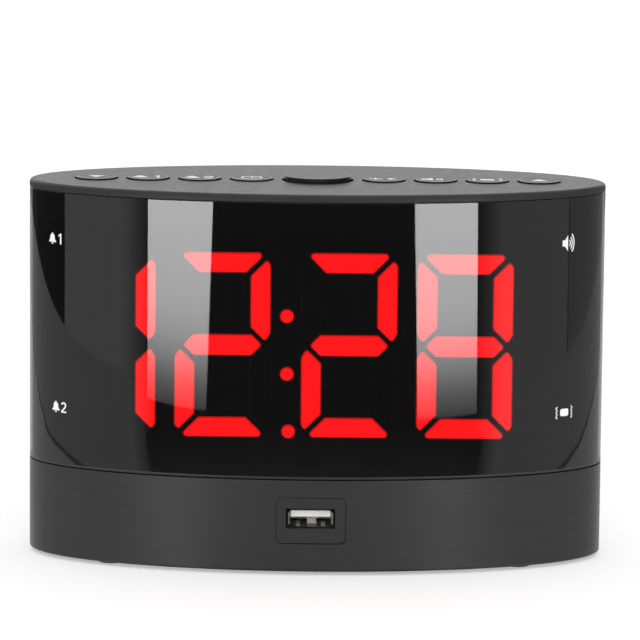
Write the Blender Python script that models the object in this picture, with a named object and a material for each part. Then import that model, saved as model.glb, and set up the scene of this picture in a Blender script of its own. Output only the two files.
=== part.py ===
"""Digital LED alarm clock: an oval case with a smoked wrap-around lens, nine keys and a USB charging port.

Metres, +Z up. The origin is on the standing surface under the middle of the clock, +X is to the right
for someone reading the time and -Y is the front. Run it with blender --background --python part.py.
"""

import math

import bmesh
import bpy

# Case: an oval plan with stacked base, lens and cover
HALF_WIDTH = 0.0810
HALF_DEPTH = 0.0352
OVAL_SIDES = 64
GAP = 0.0003  # clearance between pieces that touch in the real clock
BASE_BOTTOM = 0.0010
BASE_TOP = 0.02675
LENS_BOTTOM = 0.0270
LENS_TOP = 0.1040
COVER_BOTTOM = 0.1042
COVER_TOP = 0.1063
COVER_FILLET = 0.0012
SHELL_WALL = 0.0022
BASE_WALL = 0.0024
SPLIT_Y = 0.0040  # where the front lens meets the rear cover
SPLIT_SEAM = 0.0002
LIP_THICKNESS = 0.0017  # lips of base and cover that reach inside lens and rear cover
LIP_INSET = SHELL_WALL + GAP
COVER_LIP_DROP = 0.0045
BASE_LIP_RISE = 0.0033
BASE_LIP_DROP = 0.0048

# Keys on the top cover, left to right, and the switches under them
KEY_NAMES = ("down", "alarm_1", "alarm_2", "time", "dimmer", "volume", "vibration", "up")
KEY_FIRST_X = 0.0186  # the keys nearest to the snooze key
KEY_PITCH = 0.01455
KEY_RADIUS = 0.00595
KEY_HOLE_RADIUS = 0.00625
KEY_PROUD = 0.0005
KEY_SIDES = 16
SNOOZE_RADIUS = 0.0093
SNOOZE_HOLE_RADIUS = 0.01005
SNOOZE_PROUD = 0.0013
SNOOZE_SIDES = 28
KEY_FLANGE = 0.00105  # how far a key's flange reaches past its cap under the cover
SNOOZE_FLANGE = SNOOZE_HOLE_RADIUS - SNOOZE_RADIUS + 0.0010
KEY_FLANGE_DROP = 0.0034  # underside of the flange below the top face
KEY_STEM_RADIUS = 0.0019
KEY_STEM_DROP = 0.0058
SWITCH_SIZE = 0.0060
SWITCH_HEIGHT = 0.0035
SWITCH_BORE_RADIUS = 0.0020
SWITCH_BORE_DEPTH = 0.0021
PLUNGER_RADIUS = 0.0016
PLUNGER_LENGTH = 0.0023
KEY_BOARD_HALF = (0.0700, 0.0120)
KEY_BOARD_TOP = 0.0953
BOARD_THICKNESS = 0.0016
BOARD_POST_RADIUS = 0.0025
BOARD_POST_AT = (0.0404, 0.0095)

# Display: four seven-segment digits of which the first shows only a one, and three dots
DIGIT_FRONT_Y = -0.0210
DIGIT_MIDDLE_Z = 0.0623
DIGIT_HALF_WIDTH = 0.0134
DIGIT_HALF_HEIGHT = 0.0262
DIGIT_CENTRES = (-0.0581, -0.0261, 0.0092, 0.0412)
BAR_WIDTH = 0.0057
BAR_MITRE = 0.00065
DOT_RADIUS = 0.0020
DOT_X = -0.0082
DOT_DROP = 0.0081  # the middle dot is this far below the digits' middle
DOT_PITCH = 0.01625
DOT_SIDES = 12
WINDOW_GAP = 0.0003
MASK_HALF_WIDTH = 0.0570
MASK_BOTTOM = 0.0320
MASK_TOP = 0.0985
MASK_THICKNESS = 0.0014
DIFFUSER_THICKNESS = 0.0012
DISPLAY_BOARD_FRONT = -0.0168
DISPLAY_BOARD_HALF_WIDTH = 0.0560
DISPLAY_BOARD_BOTTOM = 0.0330
CHIP_LOW = (0.0100, 0.0600)  # x and z of the controller chip's corners
CHIP_HIGH = (0.0220, 0.0700)
CHIP_THICKNESS = 0.0018
RIBBON_X = (-0.0305, -0.0145)
RIBBON_THICKNESS = 0.0006
RIBBON_BEND = 0.0018
RIBBON_DROP = 0.0094
RIBBON_REACH = 0.0070

# USB charging port in the front of the base
USB_X = -0.0011
USB_Z = 0.01605
BEZEL_X = (-0.01065, 0.0086)
BEZEL_Z = (0.0091, 0.0218)
BEZEL_CORNER = 0.0014
BEZEL_THICKNESS = 0.0016
BEZEL_GAP = 0.00015
USB_CUTOUT = (0.0136, 0.0056)
USB_SHELL = (0.0133, 0.0059)
USB_SHELL_WALL = 0.0004
USB_DEPTH = 0.0140
USB_TONGUE = (0.0111, 0.0019)
USB_TONGUE_Z = (0.0163, 0.0182)
USB_TONGUE_SETBACK = 0.0008
USB_TONGUE_LENGTH = 0.0090

# Sockets in the back of the base
POWER_BOARD_TOP = 0.0128
POWER_BOARD_HALF_WIDTH = 0.0520
POWER_BOARD_INSET = 0.0040
CAPACITOR_AT = (0.0300, -0.0060)
CAPACITOR_RADIUS = 0.0040
CAPACITOR_HEIGHT = 0.0110
JACK_Z = 0.0168
JACK_BODY_Y = (0.0195, 0.0306)
JACK_FACE_Y = 0.0348
JACK_BODY_TOP = 0.0205
DC_JACK = {"x": 0.0095, "half_width": 0.0045, "snout": 0.0039, "bore": 0.0029}
SHAKER_JACK = {"x": -0.0095, "half_width": 0.0036, "snout": 0.0032, "bore": 0.00185}
DC_PIN_RADIUS = 0.0009
JACK_BORE_DEPTH = 0.0095

# Speaker behind slots in the rear cover
SPEAKER_Z = 0.0700
SLOT_COUNT = 7
SLOT_PITCH = 0.0036
SLOT_HALF_WIDTH = 0.0130
SLOT_HEIGHT = 0.0016

# Bottom cover with a quarter-turn door for the back-up cell
BOTTOM_THICKNESS = 0.0024
DOOR_X = -0.0280
DOOR_RADIUS = 0.0130
DOOR_THICKNESS = 0.0020
DOOR_LUG_REACH = 0.0141
DOOR_LUG_HALF_WIDTH = 0.0022
COIN_SLOT_HALF = (0.0065, 0.0009)
COIN_SLOT_DEPTH = 0.0010
CUP_RADIUS = 0.0160
CUP_TOP = 0.0085
LEDGE_TOP = 0.0032
GROOVE_RADIUS = 0.0146
GROOVE_TOP = 0.0046
CELL_RADIUS = 0.0100
CELL_BOTTOM = 0.0050
CELL_THICKNESS = 0.0032
FOOT_RADIUS = 0.0040
FOOT_TOP = 0.0016
FOOT_AT = (0.0570, 0.0173)
SCREW_AT = (0.0685, 0.0085)
SCREW_HEAD_RADIUS = 0.0026
SCREW_SHAFT_RADIUS = 0.00125
SCREW_TIP = 0.0130
SCREW_RECESS = 0.0015
BOSS_RADIUS = 0.0040
BOSS_TOP = 0.0180

PLASTIC = ("black_plastic", (0.030, 0.030, 0.032), 0.45, 0.0)
MATERIALS = {
    "cover": ("satin_cover", (0.055, 0.055, 0.057), 0.42, 0.0),
    "key": ("key_plastic", (0.045, 0.045, 0.047), 0.38, 0.0),
    "lens": ("smoked_acrylic", (0.012, 0.012, 0.013), 0.04, 0.0),
    "rear": ("rear_plastic", (0.022, 0.022, 0.024), 0.55, 0.0),
    "base": ("brushed_base", (0.050, 0.051, 0.053), 0.36, 0.4),
    "plastic": PLASTIC,
    "diffuser": ("milky_diffuser", (0.85, 0.10, 0.08), 0.50, 0.0),
    "board": ("circuit_board", (0.02, 0.16, 0.06), 0.45, 0.0),
    "metal": ("plated_steel", (0.62, 0.62, 0.63), 0.28, 1.0),
    "white": ("white_plastic", (0.82, 0.83, 0.84), 0.40, 0.0),
    "rubber": ("rubber", (0.025, 0.025, 0.025), 0.80, 0.0),
    "cone": ("paper_cone", (0.10, 0.10, 0.10), 0.85, 0.0),
    "ribbon": ("ribbon_cable", (0.55, 0.56, 0.58), 0.55, 0.0),
}


def clear_scene():
    for old in list(bpy.data.objects):
        bpy.data.objects.remove(old, do_unlink=True)


def material_of(key, owner):
    """Each object has a material of its own, so that one piece can be refinished alone."""
    label, colour, roughness, metallic = MATERIALS[key]
    material = bpy.data.materials.new(f"{label}_{owner}")
    material.use_nodes = True
    shader = material.node_tree.nodes["Principled BSDF"]
    shader.inputs["Base Color"].default_value = (*colour, 1.0)
    shader.inputs["Roughness"].default_value = roughness
    shader.inputs["Metallic"].default_value = metallic
    return material


def make(name, bm, material, location=(0, 0, 0), rotation=(0, 0, 0)):
    """Turns a bmesh into a named object with smooth round faces and crisp edges."""
    bmesh.ops.recalc_face_normals(bm, faces=bm.faces)
    mesh = bpy.data.meshes.new(name)
    bm.to_mesh(mesh)
    bm.free()
    mesh.shade_smooth()
    mesh.set_sharp_from_angle(angle=math.radians(30))
    mesh.materials.append(material_of(material, name))
    piece = bpy.data.objects.new(name, mesh)
    piece.location = location
    piece.rotation_euler = rotation
    bpy.context.scene.collection.objects.link(piece)
    return piece


def combine(piece, operation, bm, label):
    """Adds a Boolean whose hidden operand is made from bm, in world space."""
    tool = make(f"{piece.name}_{label}", bm, "plastic")
    tool.hide_render = True
    tool.display_type = "WIRE"
    boolean = piece.modifiers.new(label, "BOOLEAN")
    boolean.operation = operation
    boolean.solver = "EXACT"
    boolean.object = tool


def add_rings(bm, rings, closed=False):
    """Skins a stack of equal rings, capping the ends unless the stack closes on itself."""
    rows = [[bm.verts.new(point) for point in ring] for ring in rings]
    count = len(rows[0])
    following = rows[1:] + rows[:1] if closed else rows[1:]
    for lower, upper in zip(rows, following):
        for i in range(count):
            j = (i + 1) % count
            bm.faces.new((lower[i], lower[j], upper[j], upper[i]))
    if not closed:
        bm.faces.new(rows[0][::-1])
        bm.faces.new(rows[-1])


def oval_ring(inset, z, sides=OVAL_SIDES):
    turns = [2 * math.pi * i / sides for i in range(sides)]
    return [((HALF_WIDTH - inset) * math.cos(t), (HALF_DEPTH - inset) * math.sin(t), z) for t in turns]


def circle_ring(radius, z, sides, centre=(0, 0)):
    turns = [2 * math.pi * i / sides for i in range(sides)]
    return [(centre[0] + radius * math.cos(t), centre[1] + radius * math.sin(t), z) for t in turns]


def add_oval(bm, profile, closed=False):
    """Sweeps (inset, z) points round the oval plan: a slab, or a hollow ring if closed."""
    add_rings(bm, [oval_ring(inset, z) for inset, z in profile], closed)


def add_turned(bm, profile, sides, centre=(0, 0), closed=False):
    """Turns (radius, z) points about a vertical axis: a solid, or a hollow ring if closed."""
    add_rings(bm, [circle_ring(radius, z, sides, centre) for radius, z in profile], closed)


def add_prism(bm, outline, start, stop, axis):
    """Extrudes a flat outline. Its two coordinates are the other two axes, in X, Y, Z order."""

    def place(u, v, w):
        return {"X": (w, u, v), "Y": (u, w, v), "Z": (u, v, w)}[axis]

    add_rings(bm, [[place(u, v, w) for u, v in outline] for w in (start, stop)])


def add_box(bm, low, high):
    corners = [(low[0], low[1]), (high[0], low[1]), (high[0], high[1]), (low[0], high[1])]
    add_prism(bm, corners, low[2], high[2], "Z")


def add_rod_y(bm, radius, start, stop, centre, sides):
    """A round bar along Y about the (x, z) centre."""
    outline = [(x, z) for x, z, _ in circle_ring(radius, 0, sides, centre)]
    add_prism(bm, outline, start, stop, "Y")


def corners_of(x, y):
    return [(sx * x, sy * y) for sx in (-1, 1) for sy in (-1, 1)]


def rounded_rectangle(x_range, z_range, radius, steps=3):
    """Outline of a rectangle whose corners are quarter circles."""
    points = []
    for turn in range(4):
        centre_x = x_range[1] - radius if turn in (0, 3) else x_range[0] + radius
        centre_z = z_range[1] - radius if turn in (0, 1) else z_range[0] + radius
        for step in range(steps + 1):
            angle = math.pi / 2 * (turn + step / steps)
            points.append((centre_x + radius * math.cos(angle), centre_z + radius * math.sin(angle)))
    return points


def grown(outline, distance):
    """The outline with every side moved outwards; the points run anticlockwise."""
    moved = []
    count = len(outline)
    for i, point in enumerate(outline):
        before, after = outline[i - 1], outline[(i + 1) % count]
        normals = []
        for start, end in ((before, point), (point, after)):
            dx, dz = end[0] - start[0], end[1] - start[1]
            length = math.hypot(dx, dz)
            normals.append((dz / length, -dx / length))
        (ax, az), (bx, bz) = normals
        scale = distance / (1 + ax * bx + az * bz)
        moved.append((point[0] + (ax + bx) * scale, point[1] + (az + bz) * scale))
    return moved


def signed_area(outline):
    pairs = zip(outline, outline[1:] + outline[:1])
    return sum(a[0] * b[1] - b[0] * a[1] for a, b in pairs) / 2


def bar_outlines():
    """The seven bars of a digit about its centre, as name to outline."""
    wide, high, bar = DIGIT_HALF_WIDTH, DIGIT_HALF_HEIGHT, BAR_WIDTH
    slope = 0.0009  # offset of an upright's mitre from the digit's corner
    tip = 0.0010  # how far an upright's tip is from its outer side
    shoulder = 0.0017  # height of the bevel beside that tip
    point = 0.0023  # how far the middle bar's tip is from the digit's side
    middle = 0.0030  # half the middle bar's width
    upper_left = [
        (-wide, high - tip - slope - shoulder),
        (-wide, high / 2),
        (-wide, 2 * shoulder),
        (-wide + 1.5 * tip, slope),
        (-wide + bar, slope + bar - 1.5 * tip),
        (-wide + bar, high - bar - slope),
        (-wide + tip, high - tip - slope),
    ]
    top = [
        (-wide + BAR_MITRE, high),
        (-wide + BAR_MITRE + bar, high - bar),
        (wide - BAR_MITRE - bar, high - bar),
        (wide - BAR_MITRE, high),
    ]
    centre = [
        (-wide + point, 0),
        (-wide + point + middle, -middle),
        (wide - point - middle, -middle),
        (wide - point, 0),
        (wide - point - middle, middle),
        (-wide + point + middle, middle),
    ]

    def mirrored(outline, sx, sz):
        turned = [(sx * x, sz * z) for x, z in outline]
        return turned if sx * sz > 0 else turned[::-1]

    return {
        "a": top,
        "b": mirrored(upper_left, -1, 1),
        "c": mirrored(upper_left, -1, -1),
        "d": mirrored(top, 1, -1),
        "e": mirrored(upper_left, 1, -1),
        "f": upper_left,
        "g": centre,
    }


def display_outlines():
    """Outlines of every bar and dot of the display in the XZ plane."""
    outlines = []
    for index, centre in enumerate(DIGIT_CENTRES):
        bars = bar_outlines()
        for bar in "bc" if index == 0 else "abcdefg":
            outlines.append([(centre + x, DIGIT_MIDDLE_Z + z) for x, z in bars[bar]])
    for step in (-1, 0, 1):
        z = DIGIT_MIDDLE_Z - DOT_DROP + step * DOT_PITCH
        outlines.append([(x, y) for x, y, _ in circle_ring(DOT_RADIUS, 0, DOT_SIDES, (DOT_X, z))])
    return [line if signed_area(line) > 0 else line[::-1] for line in outlines]


def key_positions():
    """(name, x) of the eight round function keys."""
    half = len(KEY_NAMES) // 2
    for index, name in enumerate(KEY_NAMES):
        step = index - half if index >= half else half - 1 - index
        side = 1 if index >= half else -1
        yield name, side * (KEY_FIRST_X + step * KEY_PITCH)


def build_top_cover():
    bm = bmesh.new()
    profile = [(0, COVER_BOTTOM), (0, COVER_TOP - COVER_FILLET)]
    for step in (1, 2, 3):
        angle = math.radians(30 * step)
        inset = COVER_FILLET * (1 - math.cos(angle))
        profile.append((inset, COVER_TOP - COVER_FILLET * (1 - math.sin(angle))))
    add_oval(bm, profile)
    cover = make("top_cover", bm, "cover")

    lip = bmesh.new()
    lip_bottom, lip_top = COVER_BOTTOM - COVER_LIP_DROP, COVER_BOTTOM + 0.0006
    inner = LIP_INSET + LIP_THICKNESS
    ring = [(LIP_INSET, lip_bottom), (LIP_INSET, lip_top), (inner, lip_top), (inner, lip_bottom)]
    add_oval(lip, ring, True)
    combine(cover, "UNION", lip, "lip")

    posts = bmesh.new()
    for centre in corners_of(*BOARD_POST_AT):
        post = [(BOARD_POST_RADIUS, KEY_BOARD_TOP + GAP), (BOARD_POST_RADIUS, lip_top)]
        add_turned(posts, post, 10, centre)
    combine(cover, "UNION", posts, "posts")

    holes = bmesh.new()
    for _, x in key_positions():
        hole = [(KEY_HOLE_RADIUS, COVER_BOTTOM - 0.0010), (KEY_HOLE_RADIUS, COVER_TOP + 0.0010)]
        add_turned(holes, hole, KEY_SIDES, (x, 0))
    hole = [(SNOOZE_HOLE_RADIUS, COVER_BOTTOM - 0.0010), (SNOOZE_HOLE_RADIUS, COVER_TOP + 0.0010)]
    add_turned(holes, hole, SNOOZE_SIDES)
    combine(cover, "DIFFERENCE", holes, "holes")


def build_lens_and_rear_cover():
    outer = [(0, LENS_BOTTOM), (0, LENS_TOP), (SHELL_WALL, LENS_TOP), (SHELL_WALL, LENS_BOTTOM)]
    beyond = HALF_WIDTH + 0.0100
    half_seam = SPLIT_SEAM / 2

    bm = bmesh.new()
    add_oval(bm, outer, True)
    lens = make("display_lens", bm, "lens")
    back_half = bmesh.new()
    add_box(back_half, (-beyond, SPLIT_Y - half_seam, 0), (beyond, beyond, COVER_TOP + 0.0100))
    combine(lens, "DIFFERENCE", back_half, "split")

    bm = bmesh.new()
    add_oval(bm, outer, True)
    rear = make("rear_cover", bm, "rear")
    front_half = bmesh.new()
    add_box(front_half, (-beyond, -beyond, 0), (beyond, SPLIT_Y + half_seam, COVER_TOP + 0.0100))
    combine(rear, "DIFFERENCE", front_half, "split")

    slots = bmesh.new()
    for index in range(SLOT_COUNT):
        z = SPEAKER_Z + (index - (SLOT_COUNT - 1) / 2) * SLOT_PITCH
        half = SLOT_HALF_WIDTH * math.cos(0.28 * (index - (SLOT_COUNT - 1) / 2))
        low = (-half, HALF_DEPTH - 0.0080, z - SLOT_HEIGHT / 2)
        add_box(slots, low, (half, HALF_DEPTH + 0.0050, z + SLOT_HEIGHT / 2))
    combine(rear, "DIFFERENCE", slots, "slots")


def build_base_housing():
    lip_inner = LIP_INSET + LIP_THICKNESS
    lip_bottom, lip_top = BASE_TOP - BASE_LIP_DROP, BASE_TOP + BASE_LIP_RISE
    bm = bmesh.new()
    profile = [
        (0.0008, BASE_BOTTOM),
        (0.0002, BASE_BOTTOM + 0.0003),
        (0, BASE_BOTTOM + 0.0008),
        (0, BASE_TOP - 0.0002),
        (0.0002, BASE_TOP),
        (LIP_INSET, BASE_TOP),
        (LIP_INSET, lip_top),
        (lip_inner, lip_top),
        (lip_inner, lip_bottom),
        (BASE_WALL, lip_bottom - LIP_THICKNESS),
        (BASE_WALL, BASE_BOTTOM),
    ]
    add_oval(bm, profile, True)
    base = make("base_housing", bm, "base")

    bosses = bmesh.new()
    for centre in corners_of(*SCREW_AT):
        bottom = BASE_BOTTOM + BOTTOM_THICKNESS + GAP
        add_turned(bosses, [(BOSS_RADIUS, bottom), (BOSS_RADIUS, BOSS_TOP)], 12, centre)
    combine(base, "UNION", bosses, "bosses")

    gussets = bmesh.new()
    for x, y in corners_of(*SCREW_AT):
        bottom = BASE_BOTTOM + BOTTOM_THICKNESS + GAP + 0.0005
        wall_x = math.copysign(HALF_WIDTH - 0.0040, x)
        low = (min(x, wall_x), y - 0.0010, bottom)
        add_box(gussets, low, (max(x, wall_x), y + 0.0010, BOSS_TOP - 0.0010))
    combine(base, "UNION", gussets, "gussets")

    holes = bmesh.new()
    opening = rounded_rectangle(BEZEL_X, BEZEL_Z, BEZEL_CORNER)
    add_prism(holes, grown(opening, BEZEL_GAP), -HALF_DEPTH - 0.0050, -HALF_DEPTH + 0.0060, "Y")
    for jack in (DC_JACK, SHAKER_JACK):
        centre = (jack["x"], JACK_Z)
        add_rod_y(holes, jack["snout"] + GAP, HALF_DEPTH - 0.0060, HALF_DEPTH + 0.0050, centre, 20)
    for centre in corners_of(*SCREW_AT):
        pilot = SCREW_SHAFT_RADIUS + 0.00035
        add_turned(holes, [(pilot, BASE_BOTTOM), (pilot, BOSS_TOP - 0.0035)], 10, centre)
    combine(base, "DIFFERENCE", holes, "holes")


def build_usb_port():
    bm = bmesh.new()
    ring = [(0, 0.0050), (0, 0.0250), (BEZEL_THICKNESS, 0.0250), (BEZEL_THICKNESS, 0.0050)]
    add_oval(bm, ring, True)
    bezel = make("usb_bezel", bm, "base")
    plate = bmesh.new()
    outline = rounded_rectangle(BEZEL_X, BEZEL_Z, BEZEL_CORNER)
    add_prism(plate, outline, -HALF_DEPTH - 0.0050, -HALF_DEPTH + 0.0050, "Y")
    combine(bezel, "INTERSECT", plate, "outline")
    cutout = bmesh.new()
    half_x, half_z = USB_CUTOUT[0] / 2, USB_CUTOUT[1] / 2
    low = (USB_X - half_x, -HALF_DEPTH - 0.0050, USB_Z - half_z)
    add_box(cutout, low, (USB_X + half_x, -HALF_DEPTH + 0.0060, USB_Z + half_z))
    combine(bezel, "DIFFERENCE", cutout, "cutout")

    mouth = -HALF_DEPTH + BEZEL_THICKNESS + GAP
    back = mouth + USB_DEPTH
    half_x, half_z, wall = USB_SHELL[0] / 2, USB_SHELL[1] / 2, USB_SHELL_WALL
    bm = bmesh.new()
    add_box(bm, (USB_X - half_x, mouth, USB_Z - half_z), (USB_X + half_x, back, USB_Z + half_z))
    shell = make("usb_shell", bm, "metal")
    hollow = bmesh.new()
    low = (USB_X - half_x + wall, mouth - 0.0010, USB_Z - half_z + wall)
    add_box(hollow, low, (USB_X + half_x - wall, back - wall, USB_Z + half_z - wall))
    combine(shell, "DIFFERENCE", hollow, "hollow")

    front = mouth + USB_TONGUE_SETBACK
    root = front + USB_TONGUE_LENGTH
    end = back - USB_SHELL_WALL - GAP
    low_z, high_z = USB_TONGUE_Z
    block_bottom = USB_Z - half_z + wall + GAP
    blade = [(front, low_z), (root, low_z)]
    outline = [*blade, (root, block_bottom), (end, block_bottom), (end, high_z), (front, high_z)]
    bm = bmesh.new()
    add_prism(bm, outline, USB_X - USB_TONGUE[0] / 2, USB_X + USB_TONGUE[0] / 2, "X")
    make("usb_tongue", bm, "white")


def build_jack(name, jack, pin_radius=None):
    """A socket on the power board whose round snout comes flush through the back of the base."""
    x = jack["x"]
    bm = bmesh.new()
    low = (x - jack["half_width"], JACK_BODY_Y[0], POWER_BOARD_TOP + GAP)
    add_box(bm, low, (x + jack["half_width"], JACK_BODY_Y[1], JACK_BODY_TOP))
    body = make(name, bm, "plastic")
    snout = bmesh.new()
    add_rod_y(snout, jack["snout"], JACK_BODY_Y[1] - 0.0010, JACK_FACE_Y, (x, JACK_Z), 20)
    combine(body, "UNION", snout, "snout")
    bore_end = JACK_FACE_Y - JACK_BORE_DEPTH
    bore = bmesh.new()
    add_rod_y(bore, jack["bore"], bore_end, JACK_FACE_Y + 0.0010, (x, JACK_Z), 16)
    combine(body, "DIFFERENCE", bore, "bore")
    if pin_radius:
        pin = bmesh.new()
        add_rod_y(pin, pin_radius, bore_end - 0.0010, JACK_FACE_Y - 0.0015, (x, JACK_Z), 8)
        combine(body, "UNION", pin, "pin")


def build_keys():
    """Each key is a cap, a flange that keeps it under the cover, and a stem on its switch's plunger."""
    plans = [(name, x, KEY_RADIUS, KEY_PROUD, KEY_SIDES) for name, x in key_positions()]
    plans.append(("snooze", 0.0, SNOOZE_RADIUS, SNOOZE_PROUD, SNOOZE_SIDES))
    underside = COVER_BOTTOM - COVER_TOP - GAP
    for name, x, radius, proud, sides in plans:
        flange = radius + (SNOOZE_FLANGE if name == "snooze" else KEY_FLANGE)
        profile = [
            (KEY_STEM_RADIUS, -KEY_STEM_DROP),
            (KEY_STEM_RADIUS, -KEY_FLANGE_DROP),
            (flange, -KEY_FLANGE_DROP),
            (flange, underside),
            (radius, underside),
            (radius, proud - 0.0003),
            (radius - 0.0003, proud),
        ]
        bm = bmesh.new()
        add_turned(bm, profile, sides)
        make(f"{name}_key", bm, "key", (x, 0, COVER_TOP))
        build_switch(name, x)


def build_switch(name, x):
    """A push switch soldered to the key board, and the plunger that its key presses."""
    half = SWITCH_SIZE / 2
    bottom = KEY_BOARD_TOP + GAP
    top = bottom + SWITCH_HEIGHT
    bm = bmesh.new()
    add_box(bm, (x - half, -half, bottom), (x + half, half, top))
    body = make(f"{name}_switch", bm, "plastic")
    bore = bmesh.new()
    bore_profile = [(SWITCH_BORE_RADIUS, top - SWITCH_BORE_DEPTH), (SWITCH_BORE_RADIUS, top + 0.0010)]
    add_turned(bore, bore_profile, 10, (x, 0))
    combine(body, "DIFFERENCE", bore, "bore")

    stem_end = COVER_TOP - KEY_STEM_DROP
    bm = bmesh.new()
    add_turned(bm, [(PLUNGER_RADIUS, -PLUNGER_LENGTH), (PLUNGER_RADIUS, 0)], 10)
    make(f"{name}_plunger", bm, "white", (x, 0, stem_end - GAP))


def build_display():
    """A milky diffuser whose raised bars fill the windows of a black mask, on its upright board."""
    outlines = display_outlines()
    mask_front = DIGIT_FRONT_Y - 0.0003
    mask_back = mask_front + MASK_THICKNESS
    plate_front = mask_back + GAP
    plate_back = plate_front + DIFFUSER_THICKNESS

    bm = bmesh.new()
    add_box(bm, (-MASK_HALF_WIDTH, mask_front, MASK_BOTTOM), (MASK_HALF_WIDTH, mask_back, MASK_TOP))
    mask = make("display_mask", bm, "plastic")
    windows = bmesh.new()
    for outline in outlines:
        add_prism(windows, grown(outline, WINDOW_GAP), mask_front - 0.0010, mask_back + 0.0010, "Y")
    combine(mask, "DIFFERENCE", windows, "windows")

    bm = bmesh.new()
    low = (-MASK_HALF_WIDTH, plate_front, MASK_BOTTOM)
    add_box(bm, low, (MASK_HALF_WIDTH, plate_back, MASK_TOP))
    diffuser = make("display_diffuser", bm, "diffuser")
    bars = bmesh.new()
    for outline in outlines:
        add_prism(bars, outline, DIGIT_FRONT_Y, plate_front + 0.0004, "Y")
    combine(diffuser, "UNION", bars, "bars")

    board_back = DISPLAY_BOARD_FRONT + BOARD_THICKNESS
    bm = bmesh.new()
    low = (-DISPLAY_BOARD_HALF_WIDTH, DISPLAY_BOARD_FRONT, DISPLAY_BOARD_BOTTOM)
    add_box(bm, low, (DISPLAY_BOARD_HALF_WIDTH, board_back, MASK_TOP))
    make("display_board", bm, "board")

    bm = bmesh.new()
    low = (CHIP_LOW[0], board_back + GAP, CHIP_LOW[1])
    add_box(bm, low, (CHIP_HIGH[0], board_back + GAP + CHIP_THICKNESS, CHIP_HIGH[1]))
    make("controller_chip", bm, "plastic")


def build_boards():
    bm = bmesh.new()
    low = (-KEY_BOARD_HALF[0], -KEY_BOARD_HALF[1], KEY_BOARD_TOP - BOARD_THICKNESS)
    add_box(bm, low, (*KEY_BOARD_HALF, KEY_BOARD_TOP))
    make("key_board", bm, "board")

    bm = bmesh.new()
    under = POWER_BOARD_TOP - BOARD_THICKNESS
    add_oval(bm, [(POWER_BOARD_INSET, under), (POWER_BOARD_INSET, POWER_BOARD_TOP)])
    power = make("power_board", bm, "board")
    middle = bmesh.new()
    beyond = HALF_DEPTH + 0.0100
    add_box(middle, (-POWER_BOARD_HALF_WIDTH, -beyond, 0), (POWER_BOARD_HALF_WIDTH, beyond, LENS_BOTTOM))
    combine(power, "INTERSECT", middle, "width")

    bm = bmesh.new()
    bottom = POWER_BOARD_TOP + GAP
    can = [(CAPACITOR_RADIUS, bottom), (CAPACITOR_RADIUS, bottom + CAPACITOR_HEIGHT)]
    add_turned(bm, can, 14, CAPACITOR_AT)
    make("filter_capacitor", bm, "metal")

    build_ribbon()


def build_ribbon():
    """A flat cable folded from under the key board to the back of the display board."""
    thickness, bend = RIBBON_THICKNESS, RIBBON_BEND
    back = DISPLAY_BOARD_FRONT + BOARD_THICKNESS + GAP
    under = KEY_BOARD_TOP - BOARD_THICKNESS - GAP
    outline = [
        (back, under - RIBBON_DROP),
        (back + thickness, under - RIBBON_DROP),
        (back + thickness, under - bend - thickness / 2),
        (back + bend + thickness / 2, under - thickness),
        (back + RIBBON_REACH, under - thickness),
        (back + RIBBON_REACH, under),
        (back + bend, under),
        (back, under - bend),
    ]
    bm = bmesh.new()
    add_prism(bm, outline, *RIBBON_X, "X")
    make("ribbon_cable", bm, "ribbon")


def build_speaker():
    """The pieces are turned about a vertical axis, then laid along +Y behind the rear cover's slots."""
    place = (0, 0, SPEAKER_Z)
    along_y = (-math.pi / 2, 0, 0)
    basket = [
        (0.0125, 0.0302),
        (0.0125, 0.0288),
        (0.0098, 0.0252),
        (0.0085, 0.0252),
        (0.0085, 0.0240),
        (0.0100, 0.0240),
        (0.0142, 0.0285),
        (0.0142, 0.0302),
    ]
    bm = bmesh.new()
    add_turned(bm, basket, 20, closed=True)
    make("speaker_frame", bm, "metal", place, along_y)
    bm = bmesh.new()
    add_turned(bm, [(0.0030, 0.0262), (0.0118, 0.0292), (0.0118, 0.0297), (0.0030, 0.0267)], 20)
    make("speaker_cone", bm, "cone", place, along_y)
    bm = bmesh.new()
    add_turned(bm, [(0.0076, 0.0170), (0.0080, 0.0174), (0.0080, 0.0237)], 20)
    make("speaker_magnet", bm, "metal", place, along_y)


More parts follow.
